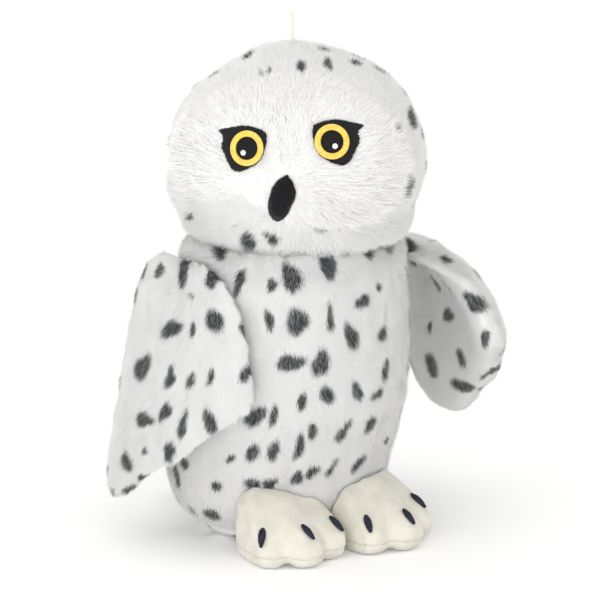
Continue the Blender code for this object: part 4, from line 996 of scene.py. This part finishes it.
# feet: cream velour, an upper and a sole with a sewn edge between them
footSettings = {
    "voxel": 0.0013, "smoothing": 9, "seam": 0.0067, "seamDepth": 0.0007, "seamWidth": 0.0009,
    "behind": np.array([0, 0.004]), "reach": 0.034, "front": (0.45, 0.8),  # shares of the reach from the heel
    "creaseAngle": 0.15, "creaseDepth": 0.0026, "creaseTop": (0.018, 0.036),
    "lumps": ((0.0005, 0.012, 6), (0.0002, 0.004, 7)),  # each a height, a size and a seed
}
for side in ("left", "right"):
    members = [f"foot_{side}_upper", f"foot_{side}_sole", f"foot_{side}_stuffing"]
    skin = roundedSkin("footSkin", members, footSettings["voxel"], footSettings["smoothing"])
    points, normals, quads = readSkin(skin)
    bpy.data.objects.remove(skin)
    level = np.exp(-(((points[:, 2] - footSettings["seam"]) / footSettings["seamWidth"]) ** 2))
    moved = points - normals * (level * footSettings["seamDepth"])[:, None]
    lumps = sum(height * cloudAt(points, size, seed) for height, size, seed in footSettings["lumps"])
    moved += normals * lumps[:, None]
    low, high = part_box(members[0])
    heel = np.array(low + high)[:2] / 2 + footSettings["behind"]
    angles = []
    for number in (1, 2, 3):
        low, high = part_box(f"claw_{side}_{number}")
        angles.append(math.atan2(*((low + high) / 2 - Vector((*heel, 0)))[:2]) % math.tau)
    angles.sort()
    around = np.arctan2(*(points[:, :2] - heel).T) % math.tau
    front = between(*footSettings["front"], np.hypot(*(points[:, :2] - heel).T) / footSettings["reach"])
    for first, second in zip(angles, angles[1:]):
        crease = np.exp(-(((around - (first + second) / 2) / footSettings["creaseAngle"]) ** 2))
        crease *= front * (1 - between(*footSettings["creaseTop"], points[:, 2]))
        moved -= normals * (crease * footSettings["creaseDepth"])[:, None]
    moved[:, 2] = np.maximum(moved[:, 2], 0.0)
    high = points[quads].mean(axis=1)[:, 2] > footSettings["seam"]
    colours = np.ones((len(points), 4))
    for word, own, node in (("Upper", quads[high], members[0]), ("Sole", quads[~high], members[1])):
        cloth, _ = clothPanel(f"foot{word}{side.capitalize()}", moved, own, colours, velourMaterial)
        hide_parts(node)
        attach(cloth, "body")
print("feet made")


def roundedPiece(name, node, voxel, smoothing, swell, material, body):
    # a small sewn detail: its CAD form, remeshed finely, rounded and swollen
    piece = roundedSkin(name, [node], voxel, smoothing)
    points, normals, _ = readSkin(piece)
    piece.data.vertices.foreach_set("co", (points + normals * swell).ravel())
    smoothShaded(piece)
    piece.data.materials.append(material)
    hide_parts(node)
    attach(piece, body)
    return piece


# claws, pupils and glints: satin stitch
# for each kind: its voxel size, rounds of smoothing and swell
stitchedForms = {"claw": (0.0004, 3, 0.0002), "pupil": (0.0003, 3, 0.0001), "glint": (0.00012, 2, 0.0001)}
for side in ("left", "right"):
    word = side.capitalize()
    for number in (1, 2, 3):
        voxel, smoothing, swell = stitchedForms["claw"]
        roundedPiece(
            f"claw{word}{number}", f"claw_{side}_{number}", voxel, smoothing, swell, clawThread,
            "body",
        )
    for kind, thread in (("pupil", blackThread), ("glint", whiteThread)):
        slot = "black_thread" if kind == "pupil" else "white_thread"
        voxel, smoothing, swell = stitchedForms[kind]
        roundedPiece(
            f"{kind}{word}", f"eye_{kind}_{side}", voxel, smoothing, swell, thread, "head"
        )
print("claws, pupils and glints made")


# eye patches and beak: short black stitches and nap over a rounded form
blackFibres = {
    **fibres, "width": 0.00034, "swerve": 0.25, "liftSpread": 0.15, "roll": 0.5, "root": 0.0002,
    "rootShade": 0.9, "sparkle": 0.25,
}
blackNap = {"strands": 9.0, "sink": 0.0002, "wander": 0.3, "wanderSize": 0.004}
blackDye = {"colour": (0.012, 0.012, 0.015), "spread": (0.5, 1.7), "cloth": (0.010, 0.010, 0.012, 1.0)}


def blackDyed(roots, count):
    return rng.uniform(*blackDye["spread"], count)[:, None] * np.array(blackDye["colour"])


blackPieces = {
    "eyePatch": {"voxel": 0.0005, "smoothing": 2, "length": 0.0013, "lift": 0.10},
    "beak": {"voxel": 0.0007, "smoothing": 5, "length": 0.0020, "lift": 0.55},
}


def blackPiece(name, node, settings, combOf, shapeOf=None):
    skin = roundedSkin(name + "Skin", [node], settings["voxel"], settings["smoothing"])
    points, normals, quads = readSkin(skin)
    bpy.data.objects.remove(skin)
    if shapeOf:
        points = shapeOf(points)
    shade = np.tile(blackDye["cloth"], (len(points), 1))
    moved = points - normals * blackNap["sink"]
    cloth = makeMesh(name, moved, quads, np.empty((0, 3), int), np.zeros((len(points), 2)), shade)
    smoothShaded(cloth)
    cloth.data.materials.append(blackPileMaterial)
    uvs = np.zeros((len(quads), 4, 2))
    wander = blackNap["wander"] * cloudAt(points, blackNap["wanderSize"], 8)
    combs = turned(combOf(points, normals), normals, wander)
    full = np.ones(len(points))
    pile = growPile(
        name + "Fibres", moved, normals, quads, uvs, combs, full * settings["length"],
        full * settings["lift"], full * blackNap["strands"] * perSquareMetre, full, blackFibres, blackDyed,
    )
    pile.data.materials.append(blackPileMaterial)
    piece = joinPieces(cloth, [pile])
    piece.name = name
    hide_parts(node)
    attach(piece, "head")
    return piece


for side in ("left", "right"):
    blackPiece(
        f"eyePatch{side.capitalize()}", f"eye_patch_{side}", blackPieces["eyePatch"],
        lambda points, normals, middle=np.array(eyeMiddles[side]): flat(points - middle, normals),
    )


beakForm = {
    "ends": (0.05, 0.95),  # shares of the height taken as the bottom and the top
    "width": ([0, 0.1, 0.35, 0.6, 0.85, 1], [0.92, 0.88, 0.86, 1.0, 1.08, 1.0]),
    "aside": ([0, 0.3, 0.6, 0.85, 1], [-0.0010, -0.0009, 0.0005, 0.0, 0.0]),
}


def beakShape(points):
    # fullest above its middle, and drawn aside below, as in the photo
    share = (points[:, 2] - points[:, 2].min()) / np.ptp(points[:, 2])
    low, high = beakForm["ends"]
    top, bottom = points[share > high].mean(axis=0), points[share < low].mean(axis=0)
    side = unit(np.cross(np.array(upWay), np.array(lookWay)))
    offset = ((points - bottom - (top - bottom) * share[:, None]) * side).sum(axis=1)
    scale = np.interp(share, *beakForm["width"])
    aside = np.interp(share, *beakForm["aside"])
    return points + side * (offset * (scale - 1) + aside)[:, None]


beak = blackPiece(
    "beakPlush", "beak", blackPieces["beak"],
    lambda points, normals: flat(np.tile([0, 0, -1.0], (len(points), 1)), normals), beakShape,
)
print("eye patches and beak made")

# eye rings: yellow satin stitch, each thread laid across the ring
ringSettings = {
    "stitches": 84, "perStitch": 4, "around": 12, "radius": 0.0086, "tube": 0.0017,
    "halfWidth": 0.00185, "halfHeight": 0.00105,
    "rib": 0.13, "ribOnTop": 0.6, "ribAcross": 0.07,  # shares of the thread's relief
    "slant": 0.05, "waves": (1, 2, 3),  # the CAD ring's outline, as a few waves round it
    "headMiddle": (0, -0.015, 0.24),
}
for side in ("left", "right"):
    cad = np.array([vertex.co for vertex in nodes[f"eye_ring_{side}"].data.vertices])
    middle = (cad.max(axis=0) + cad.min(axis=0)) / 2
    _, _, axes = np.linalg.svd(cad - cad.mean(axis=0))
    outWay = axes[2] if axes[2] @ (middle - np.array(ringSettings["headMiddle"])) > 0 else -axes[2]
    firstWay = unit(np.cross([0, 0, 1.0], outWay))
    secondWay = np.cross(outWay, firstWay)
    local = cad - cad.mean(axis=0)
    angles = np.arctan2(local @ secondWay, local @ firstWay)
    harmonics = np.column_stack(
        [np.ones(len(cad))] + [f(k * angles) for k in ringSettings["waves"] for f in (np.cos, np.sin)]
    )
    radiusFit = np.linalg.lstsq(harmonics, np.hypot(local @ firstWay, local @ secondWay), rcond=None)[0]
    heightFit = np.linalg.lstsq(harmonics, local @ outWay, rcond=None)[0]
    bpy.ops.object.select_all(action="DESELECT")
    segments = ringSettings["stitches"] * ringSettings["perStitch"]
    bpy.ops.mesh.primitive_torus_add(
        major_segments=segments, minor_segments=ringSettings["around"],
        major_radius=ringSettings["radius"], minor_radius=ringSettings["tube"],
    )
    ring = bpy.context.active_object
    ring.name = f"eyeRing{side.capitalize()}"
    placed = []
    for vertex in ring.data.vertices:
        angle = math.atan2(vertex.co.y, vertex.co.x)
        inside = math.hypot(vertex.co.x, vertex.co.y) - ringSettings["radius"]
        phi = math.atan2(vertex.co.z, inside)
        swirl = angle + ringSettings["slant"] * math.cos(phi)
        onTop, across = ringSettings["ribOnTop"], ringSettings["ribAcross"]
        relief = ringSettings["rib"] * (onTop + (1 - onTop) * abs(math.sin(phi)))
        rib = 1 + relief * math.cos(swirl * ringSettings["stitches"])
        terms = np.array([1.0] + [f(k * angle) for k in ringSettings["waves"] for f in (math.cos, math.sin)])
        radius = terms @ radiusFit + math.cos(phi) * ringSettings["halfWidth"] * (1 - across + across * rib)
        height = terms @ heightFit + math.sin(phi) * ringSettings["halfHeight"] * rib
        outward = firstWay * math.cos(angle) + secondWay * math.sin(angle)
        placed.append(cad.mean(axis=0) + outward * radius + outWay * height)
    ring.data.vertices.foreach_set("co", np.array(placed).ravel())
    smoothShaded(ring)
    ring.data.materials.append(yellowThread)
    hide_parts(f"eye_ring_{side}")
    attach(ring, "head")
print("eye rings made")


# inside: loose fibre filling, the pouch of beans and the neck joint
# for each piece: its node, voxel size, shrink, material, body and slot
wads = {
    "bodyWad": ("body_stuffing", 0.0035, 0.0045, wadMaterial, "body", "filling"),
    "headWad": ("head_stuffing", 0.0035, 0.0045, wadMaterial, "head", "filling"),
    "wingWadLeft": ("wing_left_stuffing", 0.0025, 0.0030, wadMaterial, "wing_left", "filling"),
    "wingWadRight": ("wing_right_stuffing", 0.0020, 0.0022, wadMaterial, "wing_right", "filling"),
    "footWadLeft": ("foot_left_stuffing", 0.0020, 0.0012, wadMaterial, "body", "filling"),
    "footWadRight": ("foot_right_stuffing", 0.0020, 0.0012, wadMaterial, "body", "filling"),
    "beanPouch": ("bean_pouch", 0.0020, 0.0010, pouchMaterial, "body", "beans"),
}
wadSettings = {"smoothing": 3, "lumpHeight": 0.0012, "lumpSize": 0.009}
for name, (node, voxel, shrink, material, body, slot) in wads.items():
    piece = roundedSkin(name, [node], voxel, wadSettings["smoothing"])
    points, normals, _ = readSkin(piece)
    lumps = wadSettings["lumpHeight"] * cloudAt(points, wadSettings["lumpSize"], 9) - shrink
    piece.data.vertices.foreach_set("co", (points + normals * lumps[:, None]).ravel())
    smoothShaded(piece)
    piece.data.materials.append(material)
    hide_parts(node)
    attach(piece, body)
for name in ("neck_body_disc", "neck_post_disc", "neck_lock_washer"):
    nodes[name].data.materials.clear()
    nodes[name].data.materials.append(plasticMaterial)
print("filling, pouch and neck joint made")

# floor, light and background
stage = {
    "floorColour": (0.93, 0.93, 0.93), "floorGlow": 0.12, "floorSize": 16, "floorLevel": -0.0002,
    "world": 0.98, "worldColour": (1.0, 0.995, 0.98, 1), "lightSize": 1.2, "aim": (0, 0, 0.15),
}
# for each light: its power and its place
lamps = {
    "keyLight": (4.0, lookWay * 1.0 - rightWay * 1.3 + Vector((0, 0, 1.3))),
    "sideLight": (12.0, Vector((-1.75, -1.75, 0.45))),
    "fillLight": (11.0, lookWay * 2.0 + rightWay * 0.1 - Vector((0, 0, 0.3))),
}
bpy.ops.object.select_all(action="DESELECT")
bpy.ops.mesh.primitive_plane_add(size=stage["floorSize"], location=(0, 0, stage["floorLevel"]))
floor = bpy.context.active_object
floor.name = "floor"
floorMaterial, floorTree, floorShader = newMaterial("floorPaper", stage["floorColour"], 0.9, 0.0, 0.1)
floorPath = addNode(floorTree, "ShaderNodeLightPath")
floorGlow = addNode(floorTree, "ShaderNodeMath", {1: stage["floorGlow"]}, operation="MULTIPLY")
floorTree.links.new(floorPath.outputs["Is Camera Ray"], floorGlow.inputs[0])
floorShader.inputs["Emission Color"].default_value = (1, 1, 1, 1)
floorTree.links.new(floorGlow.outputs[0], floorShader.inputs["Emission Strength"])
floor.data.materials.append(floorMaterial)

world = bpy.data.worlds.new("studio")
bpy.context.scene.world = world
world.use_nodes = True
background = world.node_tree.nodes["Background"]
background.inputs["Color"].default_value = stage["worldColour"]
background.inputs["Strength"].default_value = stage["world"]

for name, (power, place) in lamps.items():
    data = bpy.data.lights.new(name, "AREA")
    data.energy = power
    data.size = stage["lightSize"]
    lamp = bpy.data.objects.new(name, data)
    bpy.context.scene.collection.objects.link(lamp)
    lamp.location = place
    lamp.rotation_euler = (Vector(stage["aim"]) - place).to_track_quat("-Z", "Y").to_euler()
bpy.context.scene.view_settings.view_transform = "Standard"
print("stage made")
